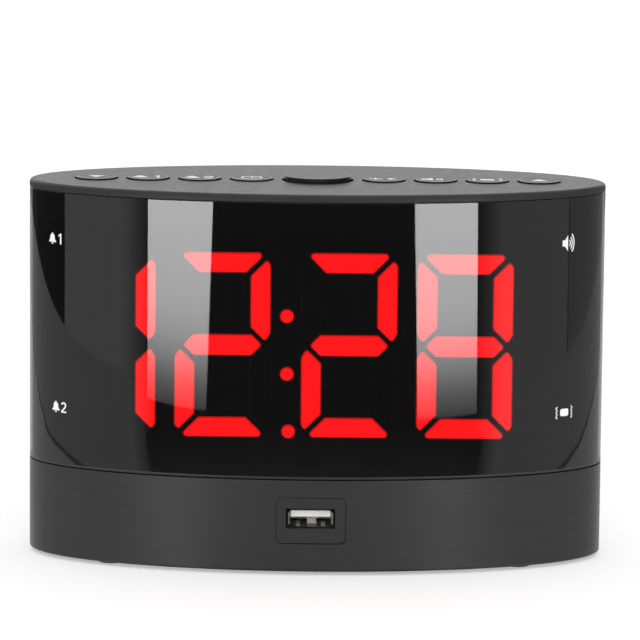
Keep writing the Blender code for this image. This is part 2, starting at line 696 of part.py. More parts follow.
def build_bottom_cover():
    top = BASE_BOTTOM + BOTTOM_THICKNESS
    inset = BASE_WALL + GAP
    bm = bmesh.new()
    add_oval(bm, [(inset, BASE_BOTTOM), (inset, top)])
    cover = make("bottom_cover", bm, "plastic")

    centre = (DOOR_X, 0)
    cup = bmesh.new()
    add_turned(cup, [(CUP_RADIUS, BASE_BOTTOM + 0.0012), (CUP_RADIUS, CUP_TOP)], 32, centre)
    combine(cover, "UNION", cup, "cup")

    below, hole = BASE_BOTTOM - 0.0005, DOOR_RADIUS + GAP
    holes = bmesh.new()
    bayonet = [
        (hole, below),
        (hole, LEDGE_TOP),
        (GROOVE_RADIUS, LEDGE_TOP),
        (GROOVE_RADIUS, GROOVE_TOP),
        (hole, GROOVE_TOP),
        (hole, CUP_TOP + 0.0005),
    ]
    add_turned(holes, bayonet, 32, centre)
    for foot in corners_of(*FOOT_AT):
        add_turned(holes, [(FOOT_RADIUS + GAP, below), (FOOT_RADIUS + GAP, FOOT_TOP + GAP)], 16, foot)
    screw_hole = [
        (SCREW_HEAD_RADIUS + GAP, below),
        (SCREW_HEAD_RADIUS + GAP, BASE_BOTTOM + SCREW_RECESS),
        (SCREW_SHAFT_RADIUS + 0.00035, BASE_BOTTOM + SCREW_RECESS),
        (SCREW_SHAFT_RADIUS + 0.00035, top + 0.0010),
    ]
    for screw in corners_of(*SCREW_AT):
        add_turned(holes, screw_hole, 12, screw)
    combine(cover, "DIFFERENCE", holes, "holes")

    notches = bmesh.new()
    half = DOOR_LUG_HALF_WIDTH + 0.0006
    low = (DOOR_X - half, -GROOVE_RADIUS, below)
    add_box(notches, low, (DOOR_X + half, GROOVE_RADIUS, GROOVE_TOP - 0.0004))
    combine(cover, "DIFFERENCE", notches, "notches")


def build_battery():
    """The quarter-turn door, the cell above it and the two contacts that hang from the power board."""
    door_top = BASE_BOTTOM + DOOR_THICKNESS
    collar = DOOR_RADIUS - 0.0008
    lug_top = GROOVE_TOP - GAP
    bm = bmesh.new()
    disc = [(DOOR_RADIUS, BASE_BOTTOM), (DOOR_RADIUS, door_top), (collar, door_top), (collar, lug_top)]
    add_turned(bm, disc, 28)
    door = make("battery_door", bm, "plastic", (DOOR_X, 0, 0))
    lugs = bmesh.new()
    half = DOOR_LUG_HALF_WIDTH
    for side in (-1, 1):
        ends = sorted((DOOR_X + side * (collar - 0.0015), DOOR_X + side * DOOR_LUG_REACH))
        add_box(lugs, (ends[0], -half, LEDGE_TOP + GAP), (ends[1], half, lug_top - 0.0002))
    combine(door, "UNION", lugs, "lugs")
    slot = bmesh.new()
    half_x, half_y = COIN_SLOT_HALF
    low = (DOOR_X - half_x, -half_y, BASE_BOTTOM - 0.0010)
    add_box(slot, low, (DOOR_X + half_x, half_y, BASE_BOTTOM + COIN_SLOT_DEPTH))
    combine(door, "DIFFERENCE", slot, "coin_slot")

    cell_top = CELL_BOTTOM + CELL_THICKNESS
    bm = bmesh.new()
    cell = [(CELL_RADIUS, CELL_BOTTOM), (CELL_RADIUS, cell_top - 0.0007), (CELL_RADIUS - 0.0012, cell_top)]
    add_turned(bm, cell, 24, (DOOR_X, 0))
    make("coin_cell", bm, "metal")

    leaf = 0.0003
    hung_from = POWER_BOARD_TOP - BOARD_THICKNESS - GAP
    side = DOOR_X + CELL_RADIUS + GAP + 0.0002
    outline = [
        (side, CELL_BOTTOM + 0.0010),
        (side + leaf, CELL_BOTTOM + 0.0010),
        (side + leaf, hung_from - leaf),
        (side + 0.0020, hung_from - leaf),
        (side + 0.0020, hung_from),
        (side, hung_from),
    ]
    bm = bmesh.new()
    add_prism(bm, outline, -0.0030, 0.0030, "Y")
    make("battery_contact_positive", bm, "metal")

    bm = bmesh.new()
    over = cell_top + GAP
    outline = [
        (DOOR_X - 0.0040, over),
        (DOOR_X + 0.0040, over),
        (DOOR_X + 0.0040, over + leaf),
        (DOOR_X - 0.0030, over + leaf),
        (DOOR_X - 0.0056, hung_from),
        (DOOR_X - 0.0063, hung_from),
    ]
    add_prism(bm, outline, -0.0020, 0.0020, "Y")
    make("battery_contact_negative", bm, "metal")


def build_feet_and_screws():
    for (x, y), place in zip(corners_of(1, 1), ("front_left", "rear_left", "front_right", "rear_right")):
        bm = bmesh.new()
        foot = [(FOOT_RADIUS - 0.0004, 0), (FOOT_RADIUS, 0.0004), (FOOT_RADIUS, FOOT_TOP)]
        add_turned(bm, foot, 16)
        make(f"foot_{place}", bm, "rubber", (x * FOOT_AT[0], y * FOOT_AT[1], 0))

        head_bottom = BASE_BOTTOM + 0.0002
        head_top = BASE_BOTTOM + SCREW_RECESS - GAP
        centre = (x * SCREW_AT[0], y * SCREW_AT[1])
        bm = bmesh.new()
        profile = [
            (SCREW_HEAD_RADIUS, head_bottom),
            (SCREW_HEAD_RADIUS, head_top),
            (SCREW_SHAFT_RADIUS, head_top),
            (SCREW_SHAFT_RADIUS, SCREW_TIP),
        ]
        add_turned(bm, profile, 12)
        screw = make(f"case_screw_{place}", bm, "metal", (*centre, 0))
        cross = bmesh.new()
        arm, half = 0.0015, 0.00035
        outline = [(arm, -half), (arm, half), (half, half), (half, arm), (-half, arm), (-half, half)]
        outline += [(-u, -v) for u, v in outline]
        placed = [(centre[0] + u, centre[1] + v) for u, v in outline]
        add_prism(cross, placed, head_bottom - 0.0005, head_bottom + 0.0006, "Z")
        combine(screw, "DIFFERENCE", cross, "cross")


def build_clock():
    clear_scene()
    build_top_cover()
    build_lens_and_rear_cover()
    build_base_housing()
    build_usb_port()
    build_jack("dc_jack", DC_JACK, DC_PIN_RADIUS)
    build_jack("shaker_jack", SHAKER_JACK)
    build_keys()
    build_display()
    build_boards()
    build_speaker()
    build_bottom_cover()
    build_battery()
    build_feet_and_screws()


build_clock()
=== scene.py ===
"""Looks of the LED alarm clock: its shells, smoked lens, lit digits, keys and sockets, and a studio.

Metres, +Z up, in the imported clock's own frame: -Y is the front, and the clock stands on z = 0.
"""

import math

import bmesh
import bpy
from mathutils import Matrix, Vector


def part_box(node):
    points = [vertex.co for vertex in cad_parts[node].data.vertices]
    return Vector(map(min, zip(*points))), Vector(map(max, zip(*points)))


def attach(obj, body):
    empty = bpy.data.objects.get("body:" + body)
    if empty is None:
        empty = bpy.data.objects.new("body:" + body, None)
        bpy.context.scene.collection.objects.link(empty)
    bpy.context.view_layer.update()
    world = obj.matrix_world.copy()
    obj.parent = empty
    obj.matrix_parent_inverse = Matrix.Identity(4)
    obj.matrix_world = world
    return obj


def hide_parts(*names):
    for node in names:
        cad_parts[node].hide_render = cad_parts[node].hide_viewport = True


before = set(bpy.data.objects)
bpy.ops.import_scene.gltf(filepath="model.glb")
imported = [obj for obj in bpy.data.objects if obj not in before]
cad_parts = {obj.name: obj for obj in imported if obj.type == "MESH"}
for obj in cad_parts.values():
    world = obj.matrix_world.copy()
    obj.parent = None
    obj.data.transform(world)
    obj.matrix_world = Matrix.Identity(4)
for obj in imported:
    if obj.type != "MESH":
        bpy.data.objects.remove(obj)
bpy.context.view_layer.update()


def plan_centre(node):
    """The middle of a node, seen from above."""
    low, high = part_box(node)
    return ((low.x + high.x) / 2, (low.y + high.y) / 2)


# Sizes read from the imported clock
BASE_LOW, BASE_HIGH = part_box("base_housing")
LENS_LOW, LENS_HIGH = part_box("display_lens")
COVER_LOW, COVER_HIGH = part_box("top_cover")
MASK_LOW, MASK_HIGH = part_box("display_mask")
DIFFUSER_LOW, DIFFUSER_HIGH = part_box("display_diffuser")
BEZEL_LOW, BEZEL_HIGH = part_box("usb_bezel")
SHELL_LOW, SHELL_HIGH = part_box("usb_shell")
TONGUE_LOW, TONGUE_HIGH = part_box("usb_tongue")
BOTTOM_LOW, BOTTOM_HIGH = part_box("bottom_cover")
DOOR_LOW, DOOR_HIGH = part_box("battery_door")
SPEAKER_LOW, SPEAKER_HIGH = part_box("speaker_frame")
REAR_LOW, REAR_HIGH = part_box("rear_cover")
HALF_WIDTH, HALF_DEPTH = BASE_HIGH.x, BASE_HIGH.y
CORNERS = ("front_left", "rear_left", "front_right", "rear_right")
SCREWS = [plan_centre(f"case_screw_{corner}") for corner in CORNERS]
FEET = [plan_centre(f"foot_{corner}") for corner in CORNERS]

# Shells
OVAL_SIDES = 256
ROUND_STEPS = 6
SHARP_ANGLE = math.radians(32)
GAP = 0.0003
PAST = 0.0050  # how far a cutter runs past the surface that it cuts
SHELL_WALL = 0.0022
BASE_WALL = 0.0024
LIP_INSET = SHELL_WALL + GAP
LIP_THICKNESS = 0.0017
LIP_DEPTH = 0.0048
COVER_SEAM = 0.00014
BASE_SEAM = 0.00025
PAINTED_HIGHLIGHT_BAND = 0.00075  # height of the lens's lower edge band, which takes a paler opaque finish: a painted highlight that shows as a fine pale line
COVER_FILLET = 0.0012
SIDE_LEAN = 0.5  # faces that look up less than this belong to the cover's side
BASE_TOP = LENS_LOW.z - BASE_SEAM
COVER_BOTTOM = LENS_HIGH.z + COVER_SEAM

# Speaker slots in the rear cover
SLOT_COUNT = 7
SLOT_PITCH = 0.0036
SLOT_HEIGHT = 0.0016
SLOT_HALF_LENGTH = 0.0130
SLOT_TAPER = 0.28  # radians of a cosine for each step away from the middle slot
SLOT_DEPTH = 0.0080

# Digits
DIGIT_MIDDLE_Z = MASK_LOW.z + 0.0303
DIGIT_HALF_WIDTH = 0.0134
DIGIT_HALF_HEIGHT = 0.0260
DIGIT_CENTRES = (-0.0581, -0.0261, 0.0092, 0.0414)
DIGITS_SHOWN = ("bc", "abged", "abged", "abcdefg")
BAR_WIDTH = 0.0057
BAR_MITRE = 0.00112
BAR_INSET = 0.0001
BAR_EDGE = 0.00022
DOT_RADIUS = 0.0020
DOT_X = -0.0082
DOT_DROP = 0.0081
DOT_PITCH = 0.01625
DOT_SHIFTS = (0.0006, 0.0001, 0.0)  # from the lowest up
WINDOW_GAP = 0.00015
PLATE_CORNER = 0.0020
PLATE_GAP = 0.00002

# Prints
PRINT_THICKNESS = 0.00004
PRINT_SINK = 0.00003

# Keys
KEY_NAMES = ("down", "alarm_1", "alarm_2", "time", "dimmer", "volume", "vibration", "up")
KEY_DISH = 0.00010
KEY_STEM = 0.0019
FLANGE_DROP = 0.0034
FLANGE_REACH = {"snooze": 0.00175, "small": 0.00140}
HOLE_CLEARANCE = {"snooze": 0.00085, "small": 0.00065}
CAP_EDGE = {"snooze": 0.00024, "small": 0.00018}
HOLE_EDGE = 0.00008

# USB port
BEZEL_GAP = 0.00010
BEZEL_DROP = 0.00006
BEZEL_CORNER = 0.0016
PANEL_THICKNESS = 0.0016
CUTOUT_HALF_WIDTH, CUTOUT_HALF_HEIGHT = 0.0068, 0.0028
CAN_WALL = 0.0004
TONGUE_DROP = 0.00025
TONGUE_THICKNESS = 0.0019
TONGUE_ROOT = 0.0090
CONTACT_PITCH = 0.00235
SOFT_EDGE = 0.00012

# Sockets in the back: radius of the snout, the bore and the pin
JACK_Z = 0.0168
JACKS = {"dc_jack": (0.0039, 0.0029, 0.0009), "shaker_jack": (0.0032, 0.00185, 0)}
JACK_BODY_BACK = 0.0306
JACK_DEPTH = 0.0095

# Underside
BOSS_TOP = 0.0180
BOSS_RADIUS = 0.0040
PILOT_RADIUS = 0.0016
GUSSET_HALF = 0.0010
PLATE_TOP = BOTTOM_LOW.z + 0.0024
CUP_RADIUS = 0.0160
DOOR_RADIUS = 0.0130
DOOR_COLLAR = 0.0122
LUG_REACH = 0.0141
GROOVE_RADIUS = 0.0146
LEDGE_TOP, GROOVE_TOP = 0.0032, 0.0046
NOTCH_HALF = 0.0028
ARROW_RADIUS = 0.0100
THREAD_PITCH = 0.0007
THREAD_DEPTH = 0.0002
SHAFT_RADIUS = 0.00125

# Studio
AMBIENT = 0.80
MIRRORED_BELOW, MIRRORED_ABOVE = 0.085, 1.15  # what gloss sees of the room under and over the horizon
FLOOR_GLOW = 0.40
FLOOR_REACH = 30.0
FADED = 0.11  # the low end of a card that fades
TABLE_FADE = (39.0, 45.5)  # bearings from the front, in degrees
TRAY_RIM = 0.009
FRONT_DISCS = 6
# Height and strength up the strip lights
STRIP_LEVELS = ((0.0, 0.9), (0.0035, 1.4), (0.007, 1.9), (0.015, 3.8), (0.021, 5.3), (0.027, 6.6),
                (0.036, 7.8), (0.055, 8.8), (0.070, 9.3), (0.10, 9.6))
WALL_DISTANCE = 1.4


# ---------------------------------------------------------------- materials


def feed(tree, node, inputs):
    """Sets a node's inputs to numbers and colours, or links them to the outputs of other nodes."""
    for name, value in inputs.items():
        socket = node.inputs[name]
        if isinstance(value, bpy.types.NodeSocket):
            tree.links.new(value, socket)
        else:
            socket.default_value = (*value, 1.0) if socket.type == "RGBA" else value


def node_of(tree, kind, inputs, **settings):
    made = tree.nodes.new(kind)
    for name, value in settings.items():
        setattr(made, name, value)
    feed(tree, made, inputs)
    return made


def principled(name):
    """A new material, its node tree and its shader."""
    material = bpy.data.materials.new(name)
    material.use_nodes = True
    tree = material.node_tree
    return material, tree, tree.nodes["Principled BSDF"]


def coordinates_of(tree, kind="Object"):
    return node_of(tree, "ShaderNodeTexCoord", {}).outputs[kind]


def stretched(tree, scale=(1, 1, 1)):
    """The object's coordinates in metres, with each axis scaled."""
    inputs = {"Vector": coordinates_of(tree), "Scale": scale}
    return node_of(tree, "ShaderNodeMapping", inputs).outputs["Vector"]


def noise(tree, coordinates, size, detail=3.0):
    """A value between 0 and 1 that changes over about size metres."""
    inputs = {"Vector": coordinates, "Scale": 1 / size, "Detail": detail}
    return node_of(tree, "ShaderNodeTexNoise", inputs).outputs["Fac"]


def ranged(tree, source, low, high, start=0.3, stop=0.7):
    """The source's stretch from start to stop, spread from low to high."""
    inputs = {"Value": source, "From Min": start, "From Max": stop, "To Min": low, "To Max": high}
    return node_of(tree, "ShaderNodeMapRange", inputs).outputs["Result"]


def blended(tree, share, first, second):
    """A colour between two colours."""
    return node_of(tree, "ShaderNodeMix", {0: share, 6: first, 7: second}, data_type="RGBA").outputs[2]


def calculated(tree, operation, *values):
    return node_of(tree, "ShaderNodeMath", dict(enumerate(values)), operation=operation).outputs[0]


def bump(tree, height, depth, strength=1.0):
    """A normal from a height between 0 and 1, depth metres from low to high."""
    inputs = {"Height": height, "Distance": depth, "Strength": strength}
    return node_of(tree, "ShaderNodeBump", inputs).outputs["Normal"]


def scaled(colour, factor):
    return tuple(min(1.0, channel * factor) for channel in colour)


def moulded(name, colour, roughness, grain=0.0005, depth=0.000012, drift=0.10, spread=0.05, metallic=0.0,
            specular=0.5):
    """Colour and roughness drift slowly over the piece, and a fine grain catches the light."""
    material, tree, shader = principled(name)
    coordinates = stretched(tree)
    share = ranged(tree, noise(tree, coordinates, 18 * grain, 4.0), 0, 1)
    gloss = noise(tree, coordinates, 5 * grain)
    feed(tree, shader, {
        "Base Color": blended(tree, share, scaled(colour, 1 - drift), scaled(colour, 1 + drift)),
        "Roughness": ranged(tree, gloss, roughness - spread, roughness + spread),
        "Metallic": metallic,
        "Specular IOR Level": specular,
        "Normal": bump(tree, noise(tree, coordinates, grain, 5.0), depth),
    })
    return material


def brushed_finish(name, colour, roughness, metallic, specular):
    """Fine hair lines that run level round the oval, with a slow change of shade."""
    material, tree, shader = principled(name)
    lines = noise(tree, stretched(tree, (60, 60, 5200)), 1.0, 4.0)
    strokes = noise(tree, stretched(tree, (90, 90, 1800)), 1.0, 3.0)
    slow = noise(tree, stretched(tree), 0.03, 2.0)
    streaked = blended(tree, ranged(tree, lines, 0, 1), scaled(colour, 0.84), scaled(colour, 1.18))
    feed(tree, shader, {
        "Base Color": blended(tree, ranged(tree, strokes, 0.0, 0.40), streaked, scaled(colour, 0.90)),
        "Roughness": ranged(tree, slow, roughness - 0.03, roughness + 0.03),
        "Metallic": metallic,
        "Specular IOR Level": specular,
        "Anisotropic": 0.75,
        "Anisotropic Rotation": 0.25,  # highlights spread across the hair lines
        "Normal": bump(tree, lines, 0.000010),
    })
    return material


def smoked_acrylic(name, alpha, specular, roughness):
    """Dark see-through acrylic with faint wiping marks in its gloss."""
    material, tree, shader = principled(name)
    coordinates = stretched(tree)
    marks = noise(tree, coordinates, 0.020, 5.0)
    feed(tree, shader, {
        "Base Color": (0.0015, 0.0015, 0.0016),
        "Roughness": ranged(tree, marks, roughness, roughness + 0.02),
        "IOR": 1.49,
        "Specular IOR Level": specular,
        "Alpha": alpha,
        "Normal": bump(tree, noise(tree, coordinates, 0.05, 1.0), 0.000002, 0.3),
    })
    return material


def glowing(name, strength):
    """Milky red resin lit from behind by its LED."""
    material, tree, shader = principled(name)
    cloud = noise(tree, stretched(tree), 0.004, 3.0)
    feed(tree, shader, {
        "Base Color": blended(tree, cloud, (0.55, 0.05, 0.04), (0.7, 0.09, 0.07)),
        "Roughness": ranged(tree, cloud, 0.40, 0.55),
        "Emission Color": (1.0, 0.004, 0.006),
        "Emission Strength": strength,
        "Normal": bump(tree, cloud, 0.00003),
    })
    return material


def circuit_board(name):
    """Green solder mask with a lighter net of traces and small tinned pads."""
    material, tree, shader = principled(name)
    coordinates = stretched(tree)
    net = {"Vector": coordinates, "Scale": 210, "Mortar Size": 0.045}
    net.update({"Color1": (0, 0, 0), "Color2": (0, 0, 0), "Mortar": (1, 1, 1)})
    traces = node_of(tree, "ShaderNodeTexBrick", net, offset=0.37, squash=1.6)
    pads = node_of(tree, "ShaderNodeTexVoronoi", {"Vector": coordinates, "Scale": 260, "Randomness": 0.55})
    green = blended(tree, traces.outputs["Color"], (0.010, 0.085, 0.030), (0.022, 0.17, 0.055))
    pad_share = ranged(tree, pads.outputs["Distance"], 1, 0, 0.16, 0.20)
    feed(tree, shader, {
        "Base Color": blended(tree, pad_share, green, (0.62, 0.60, 0.52)),
        "Roughness": ranged(tree, noise(tree, coordinates, 0.002), 0.28, 0.42),
        "Metallic": pad_share,
        "Normal": bump(tree, traces.outputs["Fac"], 0.00003),
    })
    return material


def ribbed(name, colour, dark, pitch, axis):
    """Parallel conductors under a clear skin, or the turns of a wrapped surface."""
    material, tree, shader = principled(name)
    waves = {"Vector": stretched(tree), "Scale": math.pi / (10 * pitch), "Distortion": 0.1}
    ribs = node_of(tree, "ShaderNodeTexWave", waves, wave_type="BANDS", bands_direction=axis).outputs["Fac"]
    feed(tree, shader, {
        "Base Color": blended(tree, ribs, dark, colour),
        "Roughness": ranged(tree, ribs, 0.55, 0.38, 0, 1),
        "Normal": bump(tree, ribs, 0.00008),
    })
    return material


SATIN_BLACK = (0.028, 0.028, 0.029)
FINISHES = {
    "cover": moulded("satin_cover", SATIN_BLACK, 0.38, 0.00045, 0.000006, 0.05, 0.03, 0, 0.25),
    "cover_side": moulded("satin_cover_side", SATIN_BLACK, 0.42, 0.00045, 0.000006, 0.05, 0.03, 0, 0.12),
    "key": moulded("key_caps", SATIN_BLACK, 0.38, 0.0004, 0.000005, 0.06, 0.03, 0, 0.25),
    # paler copy of the key plastic on the small keys' top fillet: a painted highlight
    "key_edge_painted_highlight": moulded("key_edge_painted_highlight", (0.28, 0.28, 0.28), 0.30, 0.0004, 0.000003, 0.06, 0.05),
    # near-black copy of the key plastic on the key sides and the snooze's top edge: painted shade; its gloss
    # shows real reflections
    "key_side_painted_shade": moulded("key_side_painted_shade", (0.004, 0.004, 0.004), 0.20, 0.0006, 0.000003, 0.06, 0.05),
    "lens": smoked_acrylic("smoked_lens", 0.70, 0.85, 0.012),
    "lens_inside": smoked_acrylic("smoked_lens_inside", 0.62, 0.0, 0.2),
    # paler opaque finish for the lens's lower fillet and edge band: a painted highlight line above the seam
    "lens_edge_painted_highlight": moulded("lens_edge_painted_highlight", (0.030, 0.030, 0.031), 0.35, 0.0005, 0.000004, 0.08, 0.04, 0, 0.3),
    "rear": moulded("rear_plastic", (0.018, 0.018, 0.019), 0.50, 0.0007, 0.00004, 0.08),
    "brushed": brushed_finish("brushed_base", (0.035, 0.0353, 0.0362), 0.42, 0.25, 0.22),
    "underside": moulded("underside_plastic", (0.020, 0.020, 0.021), 0.58, 0.0008, 0.00005, 0.08),
    "socket": moulded("socket_plastic", (0.012, 0.012, 0.012), 0.42, 0.0005, 0.000015),
    "mask": moulded("mask_plastic", (0.0035, 0.0035, 0.0036), 0.75, 0.0006, 0.00002, 0.05, specular=0.2),
    "lit": glowing("lit_diffuser", 9.0),
    "lit_edge": glowing("lit_edge", 4.0),
    "unlit": moulded("unlit_diffuser", (0.006, 0.004, 0.004), 0.6, 0.0006, 0.00002, specular=0.2),
    "milky": moulded("milky_diffuser", (0.55, 0.50, 0.49), 0.5, 0.001, 0.00002),
    "white": moulded("white_plastic", (0.80, 0.80, 0.78), 0.42, 0.0005, 0.00001, 0.04),
    "print": moulded("white_print", (0.86, 0.86, 0.86), 0.55, 0.0003, 0.000003, 0.03),
    "board": circuit_board("circuit_board"),
    # steel's own tone, darkened as painted shade so the USB can deep in its opening reads as shaded
    "steel": moulded("plated_steel", (0.20, 0.20, 0.195), 0.42, 0.0009, 0.00001, 0.12, 0.08, 1.0),
    "tin": moulded("tinned_steel", (0.42, 0.41, 0.40), 0.46, 0.0006, 0.00001, 0.14, 0.08, 0.55),
    "screw": moulded("screw_steel", (0.17, 0.17, 0.175), 0.34, 0.0004, 0.00001, 0.15, 0.08, 1.0),
    "brass": moulded("contact_brass", (0.78, 0.55, 0.22), 0.28, 0.0006, 0.000008, 0.10, 0.06, 1.0),
    "can": ribbed("capacitor_can", (0.10, 0.11, 0.20), (0.06, 0.07, 0.14), 0.0055, "Z"),
    "magnet": moulded("magnet", (0.22, 0.22, 0.23), 0.40, 0.0008, 0.00001, 0.10, 0.08, 0.9),
    "cone": moulded("paper_cone", (0.035, 0.034, 0.032), 0.88, 0.0009, 0.00008, 0.25),
    "ribbon": ribbed("ribbon_cable", (0.62, 0.62, 0.64), (0.32, 0.33, 0.36), 0.00127, "X"),
    "rubber": moulded("foot_rubber", (0.020, 0.020, 0.020), 0.82, 0.0004, 0.00003, 0.12),
}


# ---------------------------------------------------------------- mesh tools


def piece_from(bm, name, finish, body="case", replaces=()):
    """Turns a bmesh into a smooth piece of the clock that rides on a body."""
    bmesh.ops.recalc_face_normals(bm, faces=bm.faces)
    mesh = bpy.data.meshes.new(name)
    bm.to_mesh(mesh)
    bm.free()
    mesh.shade_smooth()
    mesh.set_sharp_from_angle(angle=SHARP_ANGLE)
    for label in finish if isinstance(finish, tuple) else (finish,):
        mesh.materials.append(FINISHES[label])
    piece = bpy.data.objects.new(name, mesh)
    bpy.context.scene.collection.objects.link(piece)
    weights = piece.modifiers.new("even_shading", "WEIGHTED_NORMAL")
    weights.keep_sharp = True
    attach(piece, body)
    if replaces:
        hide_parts(*replaces)
    return piece


def softened(piece, width=SOFT_EDGE):
    """Rounds a piece's sharp edges a little."""
    bevel = piece.modifiers.new("edges", "BEVEL")
    bevel.width = width
    bevel.segments = 2
    bevel.limit_method = "ANGLE"
    bevel.angle_limit = math.radians(50)
    piece.modifiers.move(piece.modifiers.find("edges"), 0)


def shape(add, *arguments, **options):
    """A new bmesh that holds what one of the add functions makes."""
    bm = bmesh.new()
    add(bm, *arguments, **options)
    return bm


def combined(bm, operation, other):
    """The Boolean of two closed bmeshes as a new bmesh; both are used up."""
    pair = []
    for index, source in enumerate((bm, other)):
        bmesh.ops.recalc_face_normals(source, faces=source.faces)
        mesh = bpy.data.meshes.new(f"operand_{index}")
        source.to_mesh(mesh)
        source.free()
        pair.append(bpy.data.objects.new(f"operand_{index}", mesh))
        bpy.context.scene.collection.objects.link(pair[-1])
    boolean = pair[0].modifiers.new("combine", "BOOLEAN")
    boolean.operation = operation
    boolean.solver = "EXACT"
    boolean.object = pair[1]
    result = bmesh.new()
    result.from_object(pair[0], bpy.context.evaluated_depsgraph_get())
    for temporary in pair:
        mesh = temporary.data
        bpy.data.objects.remove(temporary, do_unlink=True)
        bpy.data.meshes.remove(mesh)
    return result


def add_rings(bm, rings, closed=False, open_rings=False):
    """Skins a stack of equal rings. Closed joins last to first; otherwise the ends are capped."""
    rows = [[bm.verts.new(point) for point in ring] for ring in rings]
    count = len(rows[0])
    faces = []
    following = rows[1:] + rows[:1] if closed else rows[1:]
    for lower, upper in zip(rows, following):
        for i in range(count - 1 if open_rings else count):
            j = (i + 1) % count
            faces.append(bm.faces.new((lower[i], lower[j], upper[j], upper[i])))
    if not closed:
        bm.faces.new(rows[0][::-1])
        bm.faces.new(rows[-1])
    elif open_rings:
        bm.faces.new([row[0] for row in rows])
        bm.faces.new([row[-1] for row in rows][::-1])
    return faces


def turns_of(sides):
    return [2 * math.pi * i / sides for i in range(sides)]


def oval_point(inset, turn, z):
    return ((HALF_WIDTH - inset) * math.cos(turn), (HALF_DEPTH - inset) * math.sin(turn), z)


def add_oval(bm, profile, closed=False):
    """Sweeps (inset, z) points round the oval plan."""
    turns = turns_of(OVAL_SIDES)
    add_rings(bm, [[oval_point(inset, turn, z) for turn in turns] for inset, z in profile], closed)


def add_oval_half(bm, profile, cut_y, front):
    """Sweeps a closed profile round the half of the oval in front of or behind the plane y = cut_y."""
    sides = OVAL_SIDES // 2
    rings = []
    for inset, z in profile:
        lean = math.asin(cut_y / (HALF_DEPTH - inset))
        first, last = (math.pi - lean, 2 * math.pi + lean) if front else (lean, math.pi - lean)
        turns = [first + (last - first) * i / sides for i in range(sides + 1)]
        rings.append([oval_point(inset, turn, z) for turn in turns])
    return add_rings(bm, rings, closed=True, open_rings=True)


def circle(radius, centre=(0, 0), sides=32):
    return [(centre[0] + radius * math.cos(t), centre[1] + radius * math.sin(t)) for t in turns_of(sides)]


def add_turned(bm, profile, sides, centre):
    """Turns (radius, z) points about a vertical axis."""
    return add_rings(bm, [[(x, y, z) for x, y in circle(radius, centre, sides)] for radius, z in profile])


def add_stack(bm, layers, closed=False):
    """Skins a stack of (outline, y) layers, whose outlines stand upright."""
    return add_rings(bm, [[(x, y, z) for x, z in outline] for outline, y in layers], closed)


def add_bored(bm, profile, sides, centre, closed=False):
    """Turns (radius, y) points about an axis that runs from front to back."""
    add_stack(bm, [(circle(radius, centre, sides), y) for radius, y in profile], closed)


def add_prism(bm, outline, start, stop, axis="Y"):
    """Extrudes a flat outline. Its two coordinates are the other two axes, in X, Y, Z order."""

    def place(u, v, w):
        return {"X": (w, u, v), "Y": (u, w, v), "Z": (u, v, w)}[axis]

    add_rings(bm, [[place(u, v, w) for u, v in outline] for w in (start, stop)])


def box_outline(across, up):
    return [(across[0], up[0]), (across[1], up[0]), (across[1], up[1]), (across[0], up[1])]


def rounded(points, radii, steps=ROUND_STEPS, closed=True):
    """The outline with its corners turned into arcs; a radius of 0 keeps a corner sharp."""
    count = len(points)
    radii = radii if hasattr(radii, "__len__") else [radii] * count
    smooth = []
    for i, (point, radius) in enumerate(zip(points, radii)):
        corner = Vector(point)
        if radius == 0 or (not closed and i in (0, count - 1)):
            smooth.append(tuple(point))
            continue
        before = Vector(points[i - 1]) - corner
        after = Vector(points[(i + 1) % count]) - corner
        half = before.angle(after) / 2
        reach = min(radius / math.tan(half), 0.49 * before.length, 0.49 * after.length)
        middle = (before.normalized() + after.normalized()).normalized()
        centre = corner + middle * (reach / math.cos(half))
        first = corner + before.normalized() * reach - centre
        last = corner + after.normalized() * reach - centre
        whole = first.angle(last)
        for step in range(steps + 1):
            share = step / steps
            arm = first * math.sin((1 - share) * whole) + last * math.sin(share * whole)
            smooth.append(tuple(centre + arm / math.sin(whole)))
    return smooth


def grown(outline, distance):
    """The outline with every side moved outwards; the points run anticlockwise."""
    moved = []
    for i, point in enumerate(outline):
        normals = []
        for start, end in ((outline[i - 1], point), (point, outline[(i + 1) % len(outline)])):
            along = (Vector(end) - Vector(start)).normalized()
            normals.append(Vector((along.y, -along.x)))
        shift = (normals[0] + normals[1]) * (distance / (1 + normals[0].dot(normals[1])))
        moved.append(tuple(Vector(point) + shift))
    return moved


def anticlockwise(outline):
    area = sum(a[0] * b[1] - b[0] * a[1] for a, b in zip(outline, outline[1:] + outline[:1]))
    return outline if area > 0 else outline[::-1]


# ---------------------------------------------------------------- prints


def arc(centre, radius, start, stop, steps=12):
    """Points on a circle between two angles in degrees."""
    turns = [math.radians(start + (stop - start) * i / steps) for i in range(steps + 1)]
    return [(centre[0] + radius * math.cos(t), centre[1] + radius * math.sin(t)) for t in turns]


def at_bearing(centre, radius, angle):
    """One point on a circle, at an angle in degrees."""
    return arc(centre, radius, angle, angle, 1)[0]


def stroke(points, width):
    """The outline of a line of that width through the points."""
    left, right = [], []
    for i, point in enumerate(points):
        before = Vector(points[max(i - 1, 0)])
        after = Vector(points[min(i + 1, len(points) - 1)])
        along = (after - before).normalized()
        side = Vector((-along.y, along.x)) * (width / 2)
        left.append(tuple(Vector(point) + side))
        right.append(tuple(Vector(point) - side))
    return left + right[::-1]


def shifted(outlines, x, scale=1.0):
    return [[(x + scale * u, scale * v) for u, v in outline] for outline in outlines]


def narrowed(outlines, share):
    return [[(share * u, v) for u, v in outline] for outline in outlines]


def bell():
    """A bell 1 unit high with its clapper."""
    dome = arc((0, 0.12), 0.27, 0, 180, 14)
    skirt = [(-0.29, -0.08), (-0.44, -0.26), (-0.44, -0.32), (0.44, -0.32), (0.44, -0.26), (0.29, -0.08)]
    clapper = arc((0, -0.37), 0.12, 180, 360, 8)
    return [dome + skirt, clapper, circle(0.06, (0, 0.44), 12)]


